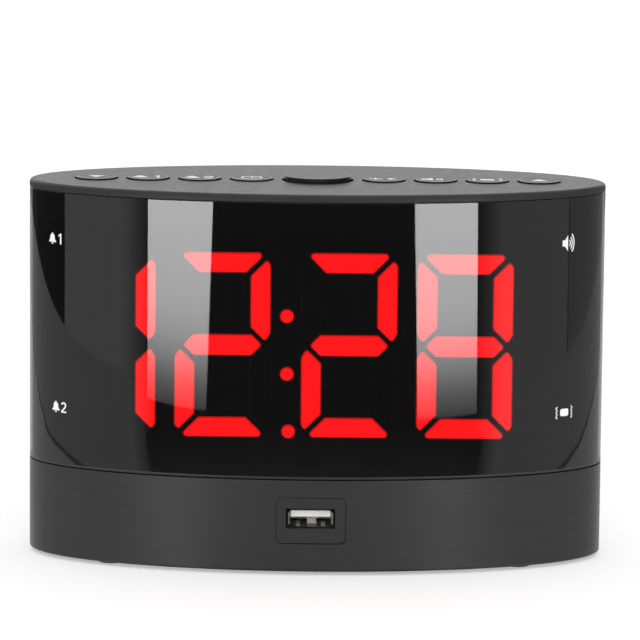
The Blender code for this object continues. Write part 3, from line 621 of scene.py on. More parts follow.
def numeral(digit):
    """A 1 or a 2, 1 unit high."""
    if digit == 1:
        flag = [(0.04, 0.5), (-0.17, 0.33), (-0.17, 0.19), (0.02, 0.31)]
        return [[(0.02, -0.5), (0.17, -0.5), (0.17, 0.5)] + flag]
    spine = arc((0, 0.20), 0.225, 165, -35, 12) + [(0.06, -0.12), (-0.20, -0.36)]
    return [stroke(spine, 0.15), box_outline((-0.30, 0.30), (-0.50, -0.36))]


def numbered_bell(digit):
    return shifted(bell(), -0.42) + shifted(numeral(digit), 0.46, 0.92)


def loudspeaker(arcs=3):
    body = [(-0.62, -0.16), (-0.40, -0.16), (-0.12, -0.42), (-0.12, 0.42), (-0.40, 0.16), (-0.62, 0.16)]
    waves = [stroke(arc((-0.10, 0), 0.20 + 0.19 * i, -52, 52, 10), 0.085) for i in range(arcs)]
    return [body] + waves


def clock_face():
    ring = [stroke(arc((0, 0), 0.42, start, start + 178, 24), 0.10) for start in (0, 180)]
    return ring + [stroke([(0, 0.27), (0, -0.03), (0.20, -0.03)], 0.08)]


def sun_and_moon():
    rays = [stroke([at_bearing((0, 0), r, turn) for r in (0.30, 0.46)], 0.085) for turn in range(0, 360, 45)]
    crescent = arc((0, 0), 0.40, 60, 300, 16) + arc((0.20, 0), 0.34, 270, 90, 12)
    return shifted([circle(0.19, (0, 0), 20)] + rays, -0.52) + shifted([crescent], 0.62)


def shaker():
    """A puck with a shiver line on each side."""
    lines = []
    for side in (-1, 1):
        zigzag = [(side * (0.60 + 0.13 * (step % 2)), -0.42 + 0.14 * step) for step in range(7)]
        lines.append(stroke(zigzag, 0.08))
    return [rounded(box_outline((-0.36, 0.36), (-0.26, 0.26)), 0.14, 4)] + lines


def triangle(way):
    return [[(-0.5, -0.4 * way), (0.5, -0.4 * way), (0, 0.45 * way)]]


# Each key's print and its size
LEGENDS = {
    "down": (triangle(-1), 0.0046),
    "alarm_1": (numbered_bell(1), 0.0052),
    "alarm_2": (numbered_bell(2), 0.0052),
    "time": (clock_face(), 0.0066),
    "dimmer": (sun_and_moon(), 0.0045),
    "volume": (loudspeaker(2), 0.0066),
    "vibration": (shaker(), 0.0056),
    "up": (triangle(1), 0.0046),
}
# Each mark on the lens, its x, z and size
LENS_MARKS = {
    "lens_mark_alarm_1": (numbered_bell(1), -0.07275, 0.0910, 0.0033),
    "lens_mark_alarm_2": (numbered_bell(2), -0.07166, 0.0436, 0.0033),
    "lens_mark_volume": (narrowed(loudspeaker(), 0.70), 0.0701, 0.0914, 0.0053),
    "lens_mark_shaker": (shaker(), 0.0695, 0.0437, 0.0040),
}


def add_print(bm, outlines, size, place):
    """Lays printed outlines on a surface; place turns (u, v, height) into a point."""
    for outline in outlines:
        flat = [(size * u, size * v) for u, v in anticlockwise(outline)]
        add_rings(bm, [[place(u, v, w) for u, v in flat] for w in (-PRINT_SINK, PRINT_THICKNESS)])


def on_lens(x, z):
    """Places print on the front of the lens about (x, z), along its curve."""
    middle = 2 * math.pi - math.acos(x / HALF_WIDTH)
    arm = math.hypot(HALF_WIDTH * math.sin(middle), HALF_DEPTH * math.cos(middle))

    def place(u, v, w):
        turn = middle + u / arm
        px, py, _ = oval_point(0, turn, z)
        out = Vector((math.cos(turn) / HALF_WIDTH, math.sin(turn) / HALF_DEPTH, 0)).normalized()
        return (px + out.x * w, py + out.y * w, z + v)

    return place


def on_key(x, cap, surface):
    """Places print on a key's dished top."""

    def place(u, v, w):
        sag = KEY_DISH * min(1.0, (u * u + v * v) / (cap * cap))
        return (x + u, v, surface + sag + w)

    return place


# ---------------------------------------------------------------- shells and keys


def build_lens():
    low, high = LENS_LOW.z, LENS_HIGH.z
    profile = [(0, low), (0, low + PAINTED_HIGHLIGHT_BAND), (0, high), (SHELL_WALL, high), (SHELL_WALL, low)]
    profile = rounded(profile, (0.0004, 0, 0.0001, 0, 0))
    bm = bmesh.new()
    faces = add_oval_half(bm, profile, LENS_HIGH.y, True)
    columns = OVAL_SIDES // 2
    inner = len(profile) - 2  # the strip between the last two profile points is the inside
    for face in faces[inner * columns:(inner + 1) * columns]:
        face.material_index = 1
    # The lower fillet and edge band take the paler finish: a painted highlight line.
    for face in faces[:(ROUND_STEPS + 1) * columns]:
        face.material_index = 2
    piece_from(bm, "lens_shell", ("lens", "lens_inside", "lens_edge_painted_highlight"), replaces=["display_lens"])
    for name, (outlines, x, z, size) in LENS_MARKS.items():
        piece_from(shape(add_print, outlines, size, on_lens(x, z)), name, "print")


def build_rear_cover():
    low, high = REAR_LOW.z, REAR_HIGH.z
    profile = rounded([(0, low), (0, high), (SHELL_WALL, high), (SHELL_WALL, low)], (0.0003, 0.0003, 0, 0))
    slots = bmesh.new()
    middle = (SPEAKER_LOW.z + SPEAKER_HIGH.z) / 2
    for index in range(SLOT_COUNT):
        step = index - (SLOT_COUNT - 1) / 2
        half = SLOT_HALF_LENGTH * math.cos(SLOT_TAPER * step)
        z = middle + step * SLOT_PITCH
        outline = rounded(box_outline((-half, half), (z - SLOT_HEIGHT / 2, z + SLOT_HEIGHT / 2)), 0.00075, 6)
        add_prism(slots, outline, HALF_DEPTH - SLOT_DEPTH, HALF_DEPTH + PAST)
    bm = combined(shape(add_oval_half, profile, REAR_LOW.y, False), "DIFFERENCE", slots)
    piece_from(bm, "rear_shell", "rear", replaces=["rear_cover"])


def key_plans():
    """(name, kind, x, cap radius, flange radius, lowest, top) of every key, from its solid."""
    for name in (*KEY_NAMES, "snooze"):
        low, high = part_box(f"{name}_key")
        kind = name if name == "snooze" else "small"
        flange = (high.x - low.x) / 2
        yield name, kind, (low.x + high.x) / 2, flange - FLANGE_REACH[kind], flange, low.z, high.z


def build_top_cover():
    inner = LIP_INSET + LIP_THICKNESS
    lip = [(inner, COVER_BOTTOM), (inner, COVER_LOW.z), (LIP_INSET, COVER_LOW.z), (LIP_INSET, COVER_BOTTOM)]
    profile = lip + [(0, COVER_BOTTOM), (0, COVER_HIGH.z), (COVER_FILLET * 2, COVER_HIGH.z)]
    profile = rounded(profile, (0, 0, 0, 0, 0.0002, COVER_FILLET, 0), closed=False)
    holes = bmesh.new()
    for _, kind, x, cap, *_ in key_plans():
        radius = cap + HOLE_CLEARANCE[kind]
        hole = [(radius, COVER_BOTTOM - 0.0010), (radius, COVER_HIGH.z - HOLE_EDGE),
                (radius + 2 * HOLE_EDGE, COVER_HIGH.z + HOLE_EDGE)]
        add_turned(holes, hole, 72, (x, 0))
    bm = combined(shape(add_oval, profile), "DIFFERENCE", holes)
    bm.normal_update()
    for face in bm.faces:
        face.material_index = 1 if face.normal.z < SIDE_LEAN else 0
    piece_from(bm, "cover_plate", ("cover", "cover_side"), replaces=["top_cover"])


def build_keys():
    """Slightly dished caps with a flange and a stem, and the white print on them."""
    underside = COVER_BOTTOM - GAP
    flange_low = COVER_HIGH.z - FLANGE_DROP
    for name, kind, x, cap, flange, low, top in key_plans():
        edge = CAP_EDGE[kind]
        profile = [(KEY_STEM, low), (KEY_STEM, flange_low), (flange, flange_low), (flange, underside),
                   (cap, underside), (cap, top), (cap - 4 * edge, top)]
        profile = rounded(profile, (0, 0, 0.0001, 0.0001, 0, edge, 0), closed=False)
        profile += [(cap * share, top - KEY_DISH * (1 - share * share)) for share in (0.80, 0.6, 0.4, 0.2)]
        bm = bmesh.new()
        for face in add_turned(bm, profile, 72, (x, 0)):
            middle = face.calc_center_median()
            reach = math.hypot(middle.x - x, middle.y)
            # Faces round the cap's rim: the sides, and the snooze's top edge, take the near-black finish,
            # painted shade.
            if middle.z > underside and reach > cap - 1.6 * edge:
                # The small keys' top fillet takes the paler finish, a painted highlight; the rest of the rim
                # takes the near-black one.
                face.material_index = 1 if middle.z > top - edge and name != "snooze" else 2
        body = f"{name}_button"
        piece_from(bm, f"{name}_cap", ("key", "key_edge_painted_highlight", "key_side_painted_shade"), body, [f"{name}_key"])
        if name in LEGENDS:
            bm = shape(add_print, *LEGENDS[name], on_key(x, cap, top - KEY_DISH))
            piece_from(bm, f"{name}_legend", "print", body)


# ---------------------------------------------------------------- base, port and sockets


def add_screw_bosses(bm):
    for centre in SCREWS:
        add_turned(bm, [(BOSS_RADIUS, PLATE_TOP + GAP), (BOSS_RADIUS, BOSS_TOP)], 32, centre)


def add_gussets(bm):
    for x, y in SCREWS:
        wall = math.copysign(HALF_WIDTH - 0.0040, x)
        outline = box_outline((min(x, wall), max(x, wall)), (BOTTOM_LOW.z + 0.0032, BOSS_TOP - 0.0010))
        add_prism(bm, outline, y - GUSSET_HALF, y + GUSSET_HALF)


def bezel_outline():
    return rounded(box_outline((BEZEL_LOW.x, BEZEL_HIGH.x), (BEZEL_LOW.z, BEZEL_HIGH.z)), BEZEL_CORNER, 8)


def add_base_holes(bm):
    """The mouth for the USB panel, the two holes for the sockets and the pilot holes for the screws."""
    layers = []
    for gap, y in ((BEZEL_GAP + 0.00050, -0.00060), (BEZEL_GAP, 0.00030), (BEZEL_GAP, 0.0060)):
        layers.append(([(x, z - BEZEL_DROP) for x, z in grown(bezel_outline(), gap)], y - HALF_DEPTH))
    add_stack(bm, layers)
    for node, (snout, _, _) in JACKS.items():
        outline = circle(snout + GAP, (plan_centre(node)[0], JACK_Z), 64)
        add_prism(bm, outline, HALF_DEPTH - 0.0060, HALF_DEPTH + PAST)
    for centre in SCREWS:
        add_turned(bm, [(PILOT_RADIUS, BASE_LOW.z - 0.0010), (PILOT_RADIUS, BOSS_TOP - 0.0035)], 24, centre)


def build_base():
    lip_inner = LIP_INSET + LIP_THICKNESS
    lip_bottom, lip_top = BASE_TOP - LIP_DEPTH, BASE_HIGH.z
    outside = [(0, BASE_LOW.z), (0, BASE_TOP), (LIP_INSET, BASE_TOP), (LIP_INSET, lip_top)]
    inside = [(lip_inner, lip_top), (lip_inner, lip_bottom), (BASE_WALL, lip_bottom - LIP_THICKNESS),
              (BASE_WALL, BASE_LOW.z)]
    profile = rounded(outside + inside, (0.0008, 0.00022, 0, 0.0003, 0.0003, 0, 0, 0))
    bm = shape(add_oval, profile, True)
    bm = combined(bm, "UNION", shape(add_screw_bosses))
    bm = combined(bm, "UNION", shape(add_gussets))
    bm = combined(bm, "DIFFERENCE", shape(add_base_holes))
    # All faces but the outer wall below the lens take the near-black mask finish: painted shade on the lip,
    # the inner walls and the hole walls, which also hides the digits' red glow on the lip.
    for face in bm.faces:
        middle = face.calc_center_median()
        reach = math.hypot(middle.x / (HALF_WIDTH - GAP), middle.y / (HALF_DEPTH - GAP))
        face.material_index = 0 if reach > 1 - GAP / HALF_DEPTH and middle.z < BASE_TOP else 1
    piece_from(bm, "base_shell", ("brushed", "mask"), replaces=["base_housing"])


def build_usb_panel():
    """The panel flush with the base, with a rounded cut-out."""
    low, high = 0.0050, 0.0250
    band = [(0, low), (0, high), (PANEL_THICKNESS, high), (PANEL_THICKNESS, low)]
    plate = shape(add_prism, bezel_outline(), -HALF_DEPTH - PAST, -HALF_DEPTH + PAST)
    bm = combined(shape(add_oval, band, True), "INTERSECT", plate)
    x, z = (SHELL_LOW.x + SHELL_HIGH.x) / 2, (SHELL_LOW.z + SHELL_HIGH.z) / 2
    opening = box_outline((x - CUTOUT_HALF_WIDTH, x + CUTOUT_HALF_WIDTH),
                          (z - CUTOUT_HALF_HEIGHT, z + CUTOUT_HALF_HEIGHT))
    cutter = shape(add_prism, rounded(opening, 0.00035, 4), -HALF_DEPTH - PAST, -HALF_DEPTH + 0.0060)
    bm = combined(bm, "DIFFERENCE", cutter)
    softened(piece_from(bm, "usb_panel", "brushed", replaces=["usb_bezel"]))


def build_usb_can():
    """The plated can behind the panel's opening, with painted shade round its front rim: the rim takes the
    near-black mask finish.
    """
    wall = CAN_WALL
    outer = box_outline((SHELL_LOW.x, SHELL_HIGH.x), (SHELL_LOW.z, SHELL_HIGH.z))
    inner = box_outline((SHELL_LOW.x + wall, SHELL_HIGH.x - wall), (SHELL_LOW.z + wall, SHELL_HIGH.z - wall))
    outer, inner = rounded(outer, 0.0006, 5), rounded(inner, 0.0003, 5)
    front, back = SHELL_LOW.y, SHELL_HIGH.y
    bm = bmesh.new()
    faces = add_stack(bm, [(outer, back), (outer, front), (inner, front), (inner, back - wall)])
    # The front rim takes the mask finish: painted shade.
    for face in faces[len(outer):2 * len(outer)]:
        face.material_index = 1
    piece_from(bm, "usb_can", ("steel", "mask"), replaces=["usb_shell"])


def build_usb_springs():
    """Leaf springs below and beside the plug's place, and the can's folded seam between the lower two."""
    middle = (SHELL_LOW.x + SHELL_HIGH.x) / 2
    half_width = (SHELL_HIGH.x - SHELL_LOW.x) / 2 - CAN_WALL
    front, floor_z = SHELL_LOW.y, SHELL_LOW.z + CAN_WALL
    leaf = [(0.0012, 0), (0.0026, 0.00020), (0.0040, 0.00048), (0.0056, 0.00030), (0.0072, 0.0)]
    side_leaf = [(0.0003, 0.00012), (0.0012, 0.00050), (0.0022, 0.00056), (0.0044, 0.00035),
                 (0.0060, 0.00012)]
    bm = bmesh.new()
    for side in (-1, 1):
        x = middle + side * 0.0035
        outline = stroke([(front + y, floor_z + 0.0002 + z) for y, z in leaf], 0.00022)
        add_prism(bm, outline, x - 0.0006, x + 0.0006, "X")
        points = [(middle + side * (half_width - inward), front + y) for y, inward in side_leaf]
        add_prism(bm, anticlockwise(stroke(points, 0.00018)), floor_z + 0.0006, floor_z + 0.0040, "Z")
    seam = middle + 0.0003
    left = [(-0.0019, 0.00235), (-0.0019, 0.0019), (-0.0012, 0.0015), (-0.0013, 0.0001)]
    bar = left + [(-x, z) for x, z in left[::-1]]
    add_prism(bm, [(seam + x, floor_z + z) for x, z in bar], front + 0.0040, front + 0.0052)
    piece_from(bm, "usb_springs", "tin")


def build_usb_tongue():
    """The white tongue and the four contacts under it."""
    front, back = TONGUE_LOW.y, TONGUE_HIGH.y
    root = front + TONGUE_ROOT
    high_z = TONGUE_HIGH.z - TONGUE_DROP
    low_z = high_z - TONGUE_THICKNESS
    outline = [(front, low_z), (root, low_z), (root, TONGUE_LOW.z), (back, TONGUE_LOW.z), (back, high_z),
               (front, high_z)]
    outline = rounded(outline, (0.0003, 0, 0, 0, 0, 0.0002), 4)
    bm = shape(add_prism, outline, TONGUE_LOW.x, TONGUE_HIGH.x, "X")
    softened(piece_from(bm, "usb_tongue_moulding", "white", replaces=["usb_tongue"]))

    bm = bmesh.new()
    for step in (-1.5, -0.5, 0.5, 1.5):
        x = TONGUE_LOW.x + (TONGUE_HIGH.x - TONGUE_LOW.x) / 2 + step * CONTACT_PITCH
        outline = box_outline((x - 0.0005, x + 0.0005), (low_z - 0.00012, low_z + 0.00002))
        add_prism(bm, rounded(outline, 0.00004, 2), front + 0.0006, root - 0.0002)
    piece_from(bm, "usb_contacts", "brass")


def build_jacks():
    """Round sockets in the back of the base, each with a nut-like rim, riding on the case body."""
    for node, (snout, bore, pin) in JACKS.items():
        low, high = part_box(node)
        x, face = (low.x + high.x) / 2, high.y
        half = (high.x - low.x) / 2
        end = face - JACK_DEPTH
        centre = (x, JACK_Z)
        body = rounded(box_outline((x - half, x + half), (low.z, high.z)), 0.0005, 4)
        barrel = [(snout, JACK_BODY_BACK - 0.0010), (snout, face - 0.0003), (snout - 0.0003, face)]
        hole = [(bore, end), (bore, face - 0.0004), (bore + 0.0006, face + 0.0002)]
        bm = shape(add_prism, body, low.y, JACK_BODY_BACK)
        bm = combined(bm, "UNION", shape(add_bored, barrel, 64, centre))
        bm = combined(bm, "DIFFERENCE", shape(add_bored, hole, 64, centre))
        piece_from(bm, f"{node}_moulding", "socket", replaces=[node])
        bm = bmesh.new()
        if pin:
            add_bored(bm, [(pin, end + 0.0002), (pin, face - 0.0019), (pin * 0.6, face - 0.0015)], 24, centre)
        inner, outer = bore - 0.0003, bore - 0.00005
        near, far = face - 0.0015, face - 0.0050
        ring = [(outer, near), (outer, far), (inner, far), (inner, near)]
        add_bored(bm, ring, 48, centre, closed=True)
        piece_from(bm, f"{node}_contact", "steel")


# ---------------------------------------------------------------- display


def bar_outlines():
    """The seven bars of a digit about its centre with their rounded corners, as name to outline."""
    wide, high, bar = DIGIT_HALF_WIDTH, DIGIT_HALF_HEIGHT, BAR_WIDTH
    slope, tip, shoulder, point, middle = 0.0009, 0.0010, 0.0017, 0.0023, 0.0030
    upright = [(-wide, high - tip - slope - shoulder), (-wide, 2 * shoulder), (-wide + 1.5 * tip, slope),
               (-wide + bar, slope + bar - 1.5 * tip), (-wide + bar, high - bar - slope),
               (-wide + tip, high - tip - slope)]
    upright = rounded(upright, (0.0010, 0.0012, 0.0008, 0.0007, 0.0007, 0.0008))
    flat = [(-wide + BAR_MITRE, high), (-wide + BAR_MITRE + bar, high - bar),
            (wide - BAR_MITRE - bar, high - bar), (wide - BAR_MITRE, high)]
    flat = rounded(flat, (0.0010, 0.0006, 0.0006, 0.0010))
    outer, inner = wide - point, wide - point - middle
    centre = [(-outer, 0), (-inner, -middle), (inner, -middle), (outer, 0), (inner, middle), (-inner, middle)]
    centre = rounded(centre, 0.0009)

    def mirrored(outline, sx, sz):
        return [(sx * x, sz * z) for x, z in outline]

    shapes = {
        "a": flat, "b": mirrored(upright, -1, 1), "c": mirrored(upright, -1, -1), "d": mirrored(flat, 1, -1),
        "e": mirrored(upright, 1, -1), "f": upright, "g": centre,
    }
    return {name: anticlockwise(outline) for name, outline in shapes.items()}


def display_outlines():
    """(lit, outline) of every bar and dot in the XZ plane. The first digit has only the bars it shows."""
    bars = bar_outlines()
    for index, (centre, shown) in enumerate(zip(DIGIT_CENTRES, DIGITS_SHOWN)):
        for name, outline in bars.items():
            if index > 0 or name in shown:
                yield name in shown, [(centre + x, DIGIT_MIDDLE_Z + z) for x, z in outline]
    for step, shift in zip((-1, 0, 1), DOT_SHIFTS):
        yield True, circle(DOT_RADIUS, (DOT_X + shift, DIGIT_MIDDLE_Z - DOT_DROP + step * DOT_PITCH), 40)


def add_bar(bm, outline, front, back):
    """A bar with a small bevel round its face."""
    layers = [(grown(outline, -BAR_EDGE), front), (outline, front + BAR_EDGE), (outline, back)]
    for face in add_stack(bm, layers):
        face.material_index = 1


def build_display():
    """The black mask with its windows, and behind it the diffuser's bars and plate."""
    plate_front = MASK_HIGH.y + GAP
    plate = rounded(box_outline((MASK_LOW.x, MASK_HIGH.x), (MASK_LOW.z, MASK_HIGH.z)), PLATE_CORNER)
    windows, lit, unlit = bmesh.new(), bmesh.new(), bmesh.new()
    for shown, outline in display_outlines():
        add_prism(windows, grown(outline, WINDOW_GAP), MASK_LOW.y - 0.0010, MASK_HIGH.y + 0.0010)
        bars = lit if shown else unlit
        add_bar(bars, grown(outline, -BAR_INSET), DIFFUSER_LOW.y, plate_front - PLATE_GAP)
    bm = combined(shape(add_prism, plate, MASK_LOW.y, MASK_HIGH.y), "DIFFERENCE", windows)
    piece_from(bm, "mask_plate", "mask", replaces=["display_mask"])
    piece_from(lit, "lit_bars", ("lit", "lit_edge"), replaces=["display_diffuser"])
    piece_from(unlit, "unlit_bars", ("unlit", "unlit"), replaces=["display_diffuser"])
    bm = shape(add_prism, plate, plate_front, DIFFUSER_HIGH.y)
    piece_from(bm, "diffuser_plate", "milky", replaces=["display_diffuser"])


# ---------------------------------------------------------------- underside


def build_bottom_cover():
    """The plate that closes the base, with the cup for the back-up cell, and recesses for feet and screws."""
    low = BOTTOM_LOW.z
    below = low - 0.0005
    inset = BASE_WALL + GAP
    centre = plan_centre("battery_door")[0], 0
    hole = DOOR_RADIUS + 0.00025
    plate = [(inset + 0.002, low), (inset, low), (inset, PLATE_TOP), (inset + 0.002, PLATE_TOP)]
    bm = shape(add_oval, rounded(plate, (0, 0.0003, 0.0002, 0), closed=False))
    cup = shape(add_turned, [(CUP_RADIUS, low + 0.0012), (CUP_RADIUS, BOTTOM_HIGH.z)], 96, centre)
    bm = combined(bm, "UNION", cup)
    groove = [(hole, LEDGE_TOP), (GROOVE_RADIUS, LEDGE_TOP), (GROOVE_RADIUS, GROOVE_TOP), (hole, GROOVE_TOP)]
    bayonet = [(hole + 0.0009, below), (hole, low + 0.0003)] + groove + [(hole, BOTTOM_HIGH.z + 0.0005)]
    holes = shape(add_turned, bayonet, 96, centre)
    for foot in FEET:
        add_turned(holes, [(0.00425, below), (0.00425, 0.0019)], 48, foot)
    for screw in SCREWS:
        recess = [(0.0031, below), (0.0029, low + 0.0002), (0.0029, low + 0.0015),
                  (PILOT_RADIUS, low + 0.0015), (PILOT_RADIUS, PLATE_TOP + 0.0010)]
        add_turned(holes, recess, 40, screw)
    bm = combined(bm, "DIFFERENCE", holes)
    outline = box_outline((centre[0] - NOTCH_HALF, centre[0] + NOTCH_HALF), (below, GROOVE_TOP - 0.0004))
    bm = combined(bm, "DIFFERENCE", shape(add_prism, outline, -GROOVE_RADIUS, GROOVE_RADIUS))
    piece_from(bm, "bottom_plate", "underside", replaces=["bottom_cover"])


def build_battery_door():
    """The quarter-turn door with its two lugs, its coin slot and two sunk arrows round it."""
    x = plan_centre("battery_door")[0]
    low, top = DOOR_LOW.z, DOOR_LOW.z + 0.0020
    profile = [(0.0110, low), (DOOR_RADIUS, low), (DOOR_RADIUS, top), (DOOR_COLLAR, top),
               (DOOR_COLLAR, DOOR_HIGH.z)]
    bm = shape(add_turned, rounded(profile, (0, 0.0003, 0.0001, 0, 0), closed=False), 96, (x, 0))
    lugs = bmesh.new()
    for side in (-1, 1):
        ends = sorted((x + side * (DOOR_COLLAR - 0.0015), x + side * LUG_REACH))
        add_prism(lugs, box_outline(ends, (0.0035, DOOR_HIGH.z - 0.0002)), -0.0022, 0.0022)
    bm = combined(bm, "UNION", lugs)
    sunk_from, slot_top, arrow_top = low - 0.0010, low + 0.0010, low + 0.00025
    outline = rounded(box_outline((x - 0.0065, x + 0.0065), (-0.0009, 0.0009)), 0.0007, 5)
    cuts = shape(add_prism, outline, sunk_from, slot_top, "Z")
    for side in (0, 180):
        track = arc((x, 0), ARROW_RADIUS, side + 50, side + 118, 14)
        add_prism(cuts, stroke(track, 0.0007), sunk_from, arrow_top, "Z")
        tip = at_bearing((x, 0), ARROW_RADIUS, side + 130)
        barbs = [at_bearing((x, 0), radius, side + 119) for radius in (0.0088, 0.0112)]
        add_prism(cuts, anticlockwise([tip, *barbs]), sunk_from, arrow_top, "Z")
    bm = combined(bm, "DIFFERENCE", cuts)
    piece_from(bm, "battery_door_disc", "underside", "battery_door", ["battery_door"])


def build_feet():
    for corner, centre in zip(CORNERS, FEET):
        low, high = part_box(f"foot_{corner}")
        radius = (high.x - low.x) / 2
        profile = [(radius * 0.55, low.z + 0.0002), (radius * 0.62, low.z), (radius - 0.0005, low.z),
                   (radius, low.z + 0.0005), (radius, high.z)]
        bm = shape(add_turned, rounded(profile, 0.0002, 4, closed=False), 56, centre)
        piece_from(bm, f"rubber_foot_{corner}", "rubber", replaces=[f"foot_{corner}"])


def build_screws():
    """Cross-head screws whose threads are rings."""
    arm, half = 0.0015, 0.00035
    quarter = [(arm, -half), (arm, half), (half, half), (half, arm), (-half, arm), (-half, half)]
    cross = quarter + [(-u, -v) for u, v in quarter]
    for corner, centre in zip(CORNERS, SCREWS):
        low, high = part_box(f"case_screw_{corner}")
        head, head_top = (high.x - low.x) / 2, low.z + 0.0010
        root = SHAFT_RADIUS - THREAD_DEPTH
        profile = [(head * 0.5, low.z), (head, low.z + 0.00025), (head, head_top), (SHAFT_RADIUS, head_top)]
        profile = rounded(profile, (0, 0.0002, 0, 0), closed=False)
        turn = 0
        while profile[-1][1] + THREAD_PITCH < high.z - 0.001:
            z = head_top + 0.0004 + turn * THREAD_PITCH
            profile += [(root, z), (SHAFT_RADIUS, z + THREAD_PITCH / 2)]
            turn += 1
        profile += [(root, high.z - 0.0008), (0.0003, high.z)]
        outline = [(centre[0] + u, centre[1] + v) for u, v in cross]
        cutter = shape(add_prism, outline, low.z - 0.0005, low.z + 0.0007, "Z")
        bm = combined(shape(add_turned, profile, 40, centre), "DIFFERENCE", cutter)
        node = f"case_screw_{corner}"
        piece_from(bm, f"cross_screw_{corner}", "screw", replaces=[node])


# The inner nodes that keep their shape, by finish
CARRIED_OVER = {
    "board": ["power_board", "display_board", "key_board"],
    "socket": ["controller_chip"] + [f"{name}_switch" for name in (*KEY_NAMES, "snooze")],
    "white": [f"{name}_plunger" for name in (*KEY_NAMES, "snooze")],
    "can": ["filter_capacitor"],
    "ribbon": ["ribbon_cable"],
    "steel": ["speaker_frame", "coin_cell"],
    "magnet": ["speaker_magnet"],
    "cone": ["speaker_cone"],
    "brass": ["battery_contact_positive", "battery_contact_negative"],
}


def refinish_inner_nodes():
    for finish, names in CARRIED_OVER.items():
        for name in names:
            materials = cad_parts[name].data.materials
            materials.clear()
            materials.append(FINISHES[finish])


# ---------------------------------------------------------------- studio


def stage_mesh(name, outline, material):
    """A flat stage piece from its corners."""
    mesh = bpy.data.meshes.new(name)
    mesh.from_pydata(outline, [], [range(len(outline))])
    mesh.materials.append(material)
    made = bpy.data.objects.new(name, mesh)
    bpy.context.scene.collection.objects.link(made)
    return made


def fading_level(tree, place, strength, fade):
    """The strength past the second bearing from the front, and FADED before the first."""
    bearing = calculated(tree, "ARCTAN2", place["X"], calculated(tree, "MULTIPLY", place["Y"], -1))
    ends = [math.radians(end) for end in fade]
    return ranged(tree, calculated(tree, "ABSOLUTE", bearing), FADED, strength, *ends)


def rising_level(tree, place, levels):
    """A strength that follows (height, strength) points."""
    tall, bright = levels[-1][0], max(level for _, level in levels)
    curve = node_of(tree, "ShaderNodeFloatCurve", {"Value": ranged(tree, place["Z"], 0, 1, 0, tall)})
    points = curve.mapping.curves[0].points
    for index, (z, level) in enumerate(levels):
        if index < 2:  # a new curve has two points
            points[index].location = (z / tall, level / bright)
        else:
            points.new(z / tall, level / bright)
    curve.mapping.update()
    return calculated(tree, "MULTIPLY", curve.outputs[0], bright)


def light_material(name, strength, fade):
    """Plain light, light that fades between two bearings, or light that changes with height."""
    material = bpy.data.materials.new(name)
    material.use_nodes = True
    tree = material.node_tree
    tree.nodes.clear()
    place = node_of(tree, "ShaderNodeSeparateXYZ", {0: coordinates_of(tree)}).outputs
    if fade:
        strength = fading_level(tree, place, strength, fade)
    elif isinstance(strength, tuple):
        strength = rising_level(tree, place, strength)
    glow = node_of(tree, "ShaderNodeEmission", {"Strength": strength})
    node_of(tree, "ShaderNodeOutputMaterial", {"Surface": glow.outputs[0]})
    return material


def mirrored_card(name, outline, strength, fade=None):
    """A card of light that shows only in glossy surfaces."""
    card = stage_mesh(name, outline, light_material(name, strength, fade))
    card.visible_camera = False
    card.visible_diffuse = False
    card.visible_transmission = False
    card.visible_volume_scatter = False
    card.visible_shadow = False


def standing_card(name, bottom_line, top_line, bottom, top, strength, fade=None):
    """An upright card between two level lines, each of two (x, y) points."""
    (first, last), (over_first, over_last) = bottom_line, top_line
    outline = [(*first, bottom), (*last, bottom), (*over_last, top), (*over_first, top)]
    mirrored_card(name, outline, strength, fade)


def build_world():
    """Even light from all round, and a horizon that only glossy surfaces see."""
    world = bpy.data.worlds.new("studio")
    bpy.context.scene.world = world
    world.use_nodes = True
    tree = world.node_tree
    direction = node_of(tree, "ShaderNodeSeparateXYZ", {0: coordinates_of(tree, "Generated")})
    mirrored = ranged(tree, direction.outputs["Z"], MIRRORED_BELOW, MIRRORED_ABOVE, -0.03, 0.03)
    glossy = node_of(tree, "ShaderNodeLightPath", {}).outputs["Is Glossy Ray"]
    strength = node_of(tree, "ShaderNodeMix", {0: glossy, 2: AMBIENT, 3: mirrored}, data_type="FLOAT")
    feed(tree, tree.nodes["Background"], {"Color": (1, 1, 1), "Strength": strength.outputs[0]})


def build_floor():
    material, tree, shader = principled("pale_floor")
    feed(tree, shader, {
        "Base Color": (0.80, 0.80, 0.80),
        "Roughness": 0.9,
        "Emission Color": (1, 1, 1),
        "Emission Strength": FLOOR_GLOW,
    })
    ends = (-FLOOR_REACH, FLOOR_REACH)
    floor = stage_mesh("floor", [(x, y, 0) for x, y in box_outline(ends, ends)], material)
    floor.visible_glossy = False


def open_to_front(outline):
    """An outline without its points near the front, closed under the clock."""
    kept = []
    for x, y in outline:
        bearing = math.atan2(x, -y)
        if abs(bearing) > math.radians(TABLE_FADE[0]):
            kept.append((bearing % (2 * math.pi), (x, y)))
    return [point for _, point in sorted(kept)] + [(0.0, -0.01)]


def build_table_reflection():
    """A round table with a tray on it, open towards the front, and a faint glow in front of the clock."""
    left_edge = [(-0.335, 0.50), (-0.330, 0.160), (-0.297, 0.050), (-0.273, 0.023), (-0.263, -0.002),
                 (-0.237, -0.047), (-0.213, -0.069), (-0.180, -0.091)]
    right_edge = [(0.180, -0.086), (0.211, -0.057), (0.243, -0.030), (0.281, 0.024), (0.307, 0.080),
                  (0.320, 0.160), (0.326, 0.50)]
    tray = rounded(left_edge + right_edge, 0.02, 8)
    for name, outline, height, strength in (
        ("mirrored_table", circle(0.60, (-0.03, 0.27), 180), 0.0002, 0.72),
        ("mirrored_rim", grown(tray, TRAY_RIM), 0.0004, 0.34),
        ("mirrored_tray", tray, 0.0006, 0.98),
    ):
        mirrored_card(name, [(*point, height) for point in open_to_front(outline)], strength, TABLE_FADE)
    for disc in range(FRONT_DISCS):
        outline = [(*point, 0.00002 * (disc + 1)) for point in circle(0.270 - 0.016 * disc, (0, 0), 90)]
        mirrored_card(f"mirrored_front_{disc + 1}", outline, 0.100 + 0.017 * disc)


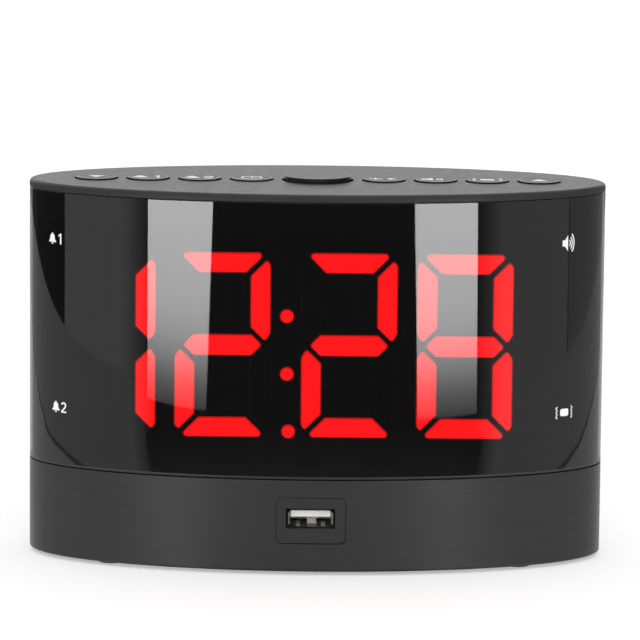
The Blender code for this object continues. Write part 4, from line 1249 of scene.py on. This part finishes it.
def build_strips_and_walls():
    """Two strip lights that stand on the table, and pale walls round it, by bearing from the front."""
    left = ((-0.2155, -0.2595), (-0.1265, -0.2800))
    left_top = ((-0.2155, -0.2595), (-0.1160, -0.2820))
    right = ((0.1135, -0.2725), (0.1910, -0.2462))
    right_top = ((0.1050, -0.2755), (0.1870, -0.2475))
    standing_card("strip_left", left, left_top, 0.0, STRIP_LEVELS[-1][0], STRIP_LEVELS)
    standing_card("strip_right", right, right_top, 0.0, STRIP_LEVELS[-1][0], STRIP_LEVELS)
    for name, bearings, strength, fade in (
        ("wall_left", (-77.0, -36.0), 0.85, (36.0, 45.0)),
        ("wall_right", (34.0, 76.3), 0.70, (34.5, 43.0)),
        ("wall_right_back", (76.9, 150.0), 0.52, None),
    ):
        turns = [math.radians(bearing) for bearing in bearings]
        line = [(WALL_DISTANCE * math.sin(turn), -WALL_DISTANCE * math.cos(turn)) for turn in turns]
        standing_card(name, line, line, -0.25, 1.2, strength, fade)


def build_front_light():
    light = bpy.data.lights.new("front_fill", "AREA")
    light.shape = "SQUARE"
    light.size = 0.7
    light.energy = 7.0
    lamp = bpy.data.objects.new("front_fill", light)
    place, aim = Vector((0.0, -1.6, 0.75)), Vector((0, 0, 0.05))
    lamp.location = place
    lamp.rotation_euler = (place - aim).to_track_quat("Z", "Y").to_euler()
    lamp.visible_glossy = False
    lamp.visible_camera = False
    bpy.context.scene.collection.objects.link(lamp)


def build_camera():
    """A long lens a little above the clock, with a touch of roll."""
    data = bpy.data.cameras.new("camera")
    data.sensor_width = 36.0
    data.lens = 263.3
    data.clip_start, data.clip_end = 0.05, 100.0
    camera = bpy.data.objects.new("camera", data)
    pitch, roll = 0.1515, 0.0095
    place = Matrix.Translation((0.001, -1.3075, 0.266))
    camera.matrix_world = place @ Matrix.Rotation(math.pi / 2 - pitch, 4, "X") @ Matrix.Rotation(roll, 4, "Z")
    bpy.context.scene.collection.objects.link(camera)
    bpy.context.scene.camera = camera
    bpy.context.scene.view_settings.view_transform = "Standard"


build_camera()
build_lens()
build_rear_cover()
build_top_cover()
build_keys()
build_base()
build_usb_panel()
build_usb_can()
build_usb_springs()
build_usb_tongue()
build_jacks()
build_display()
build_bottom_cover()
build_battery_door()
build_feet()
build_screws()
refinish_inner_nodes()
build_world()
build_floor()
build_table_reflection()
build_strips_and_walls()
build_front_light()
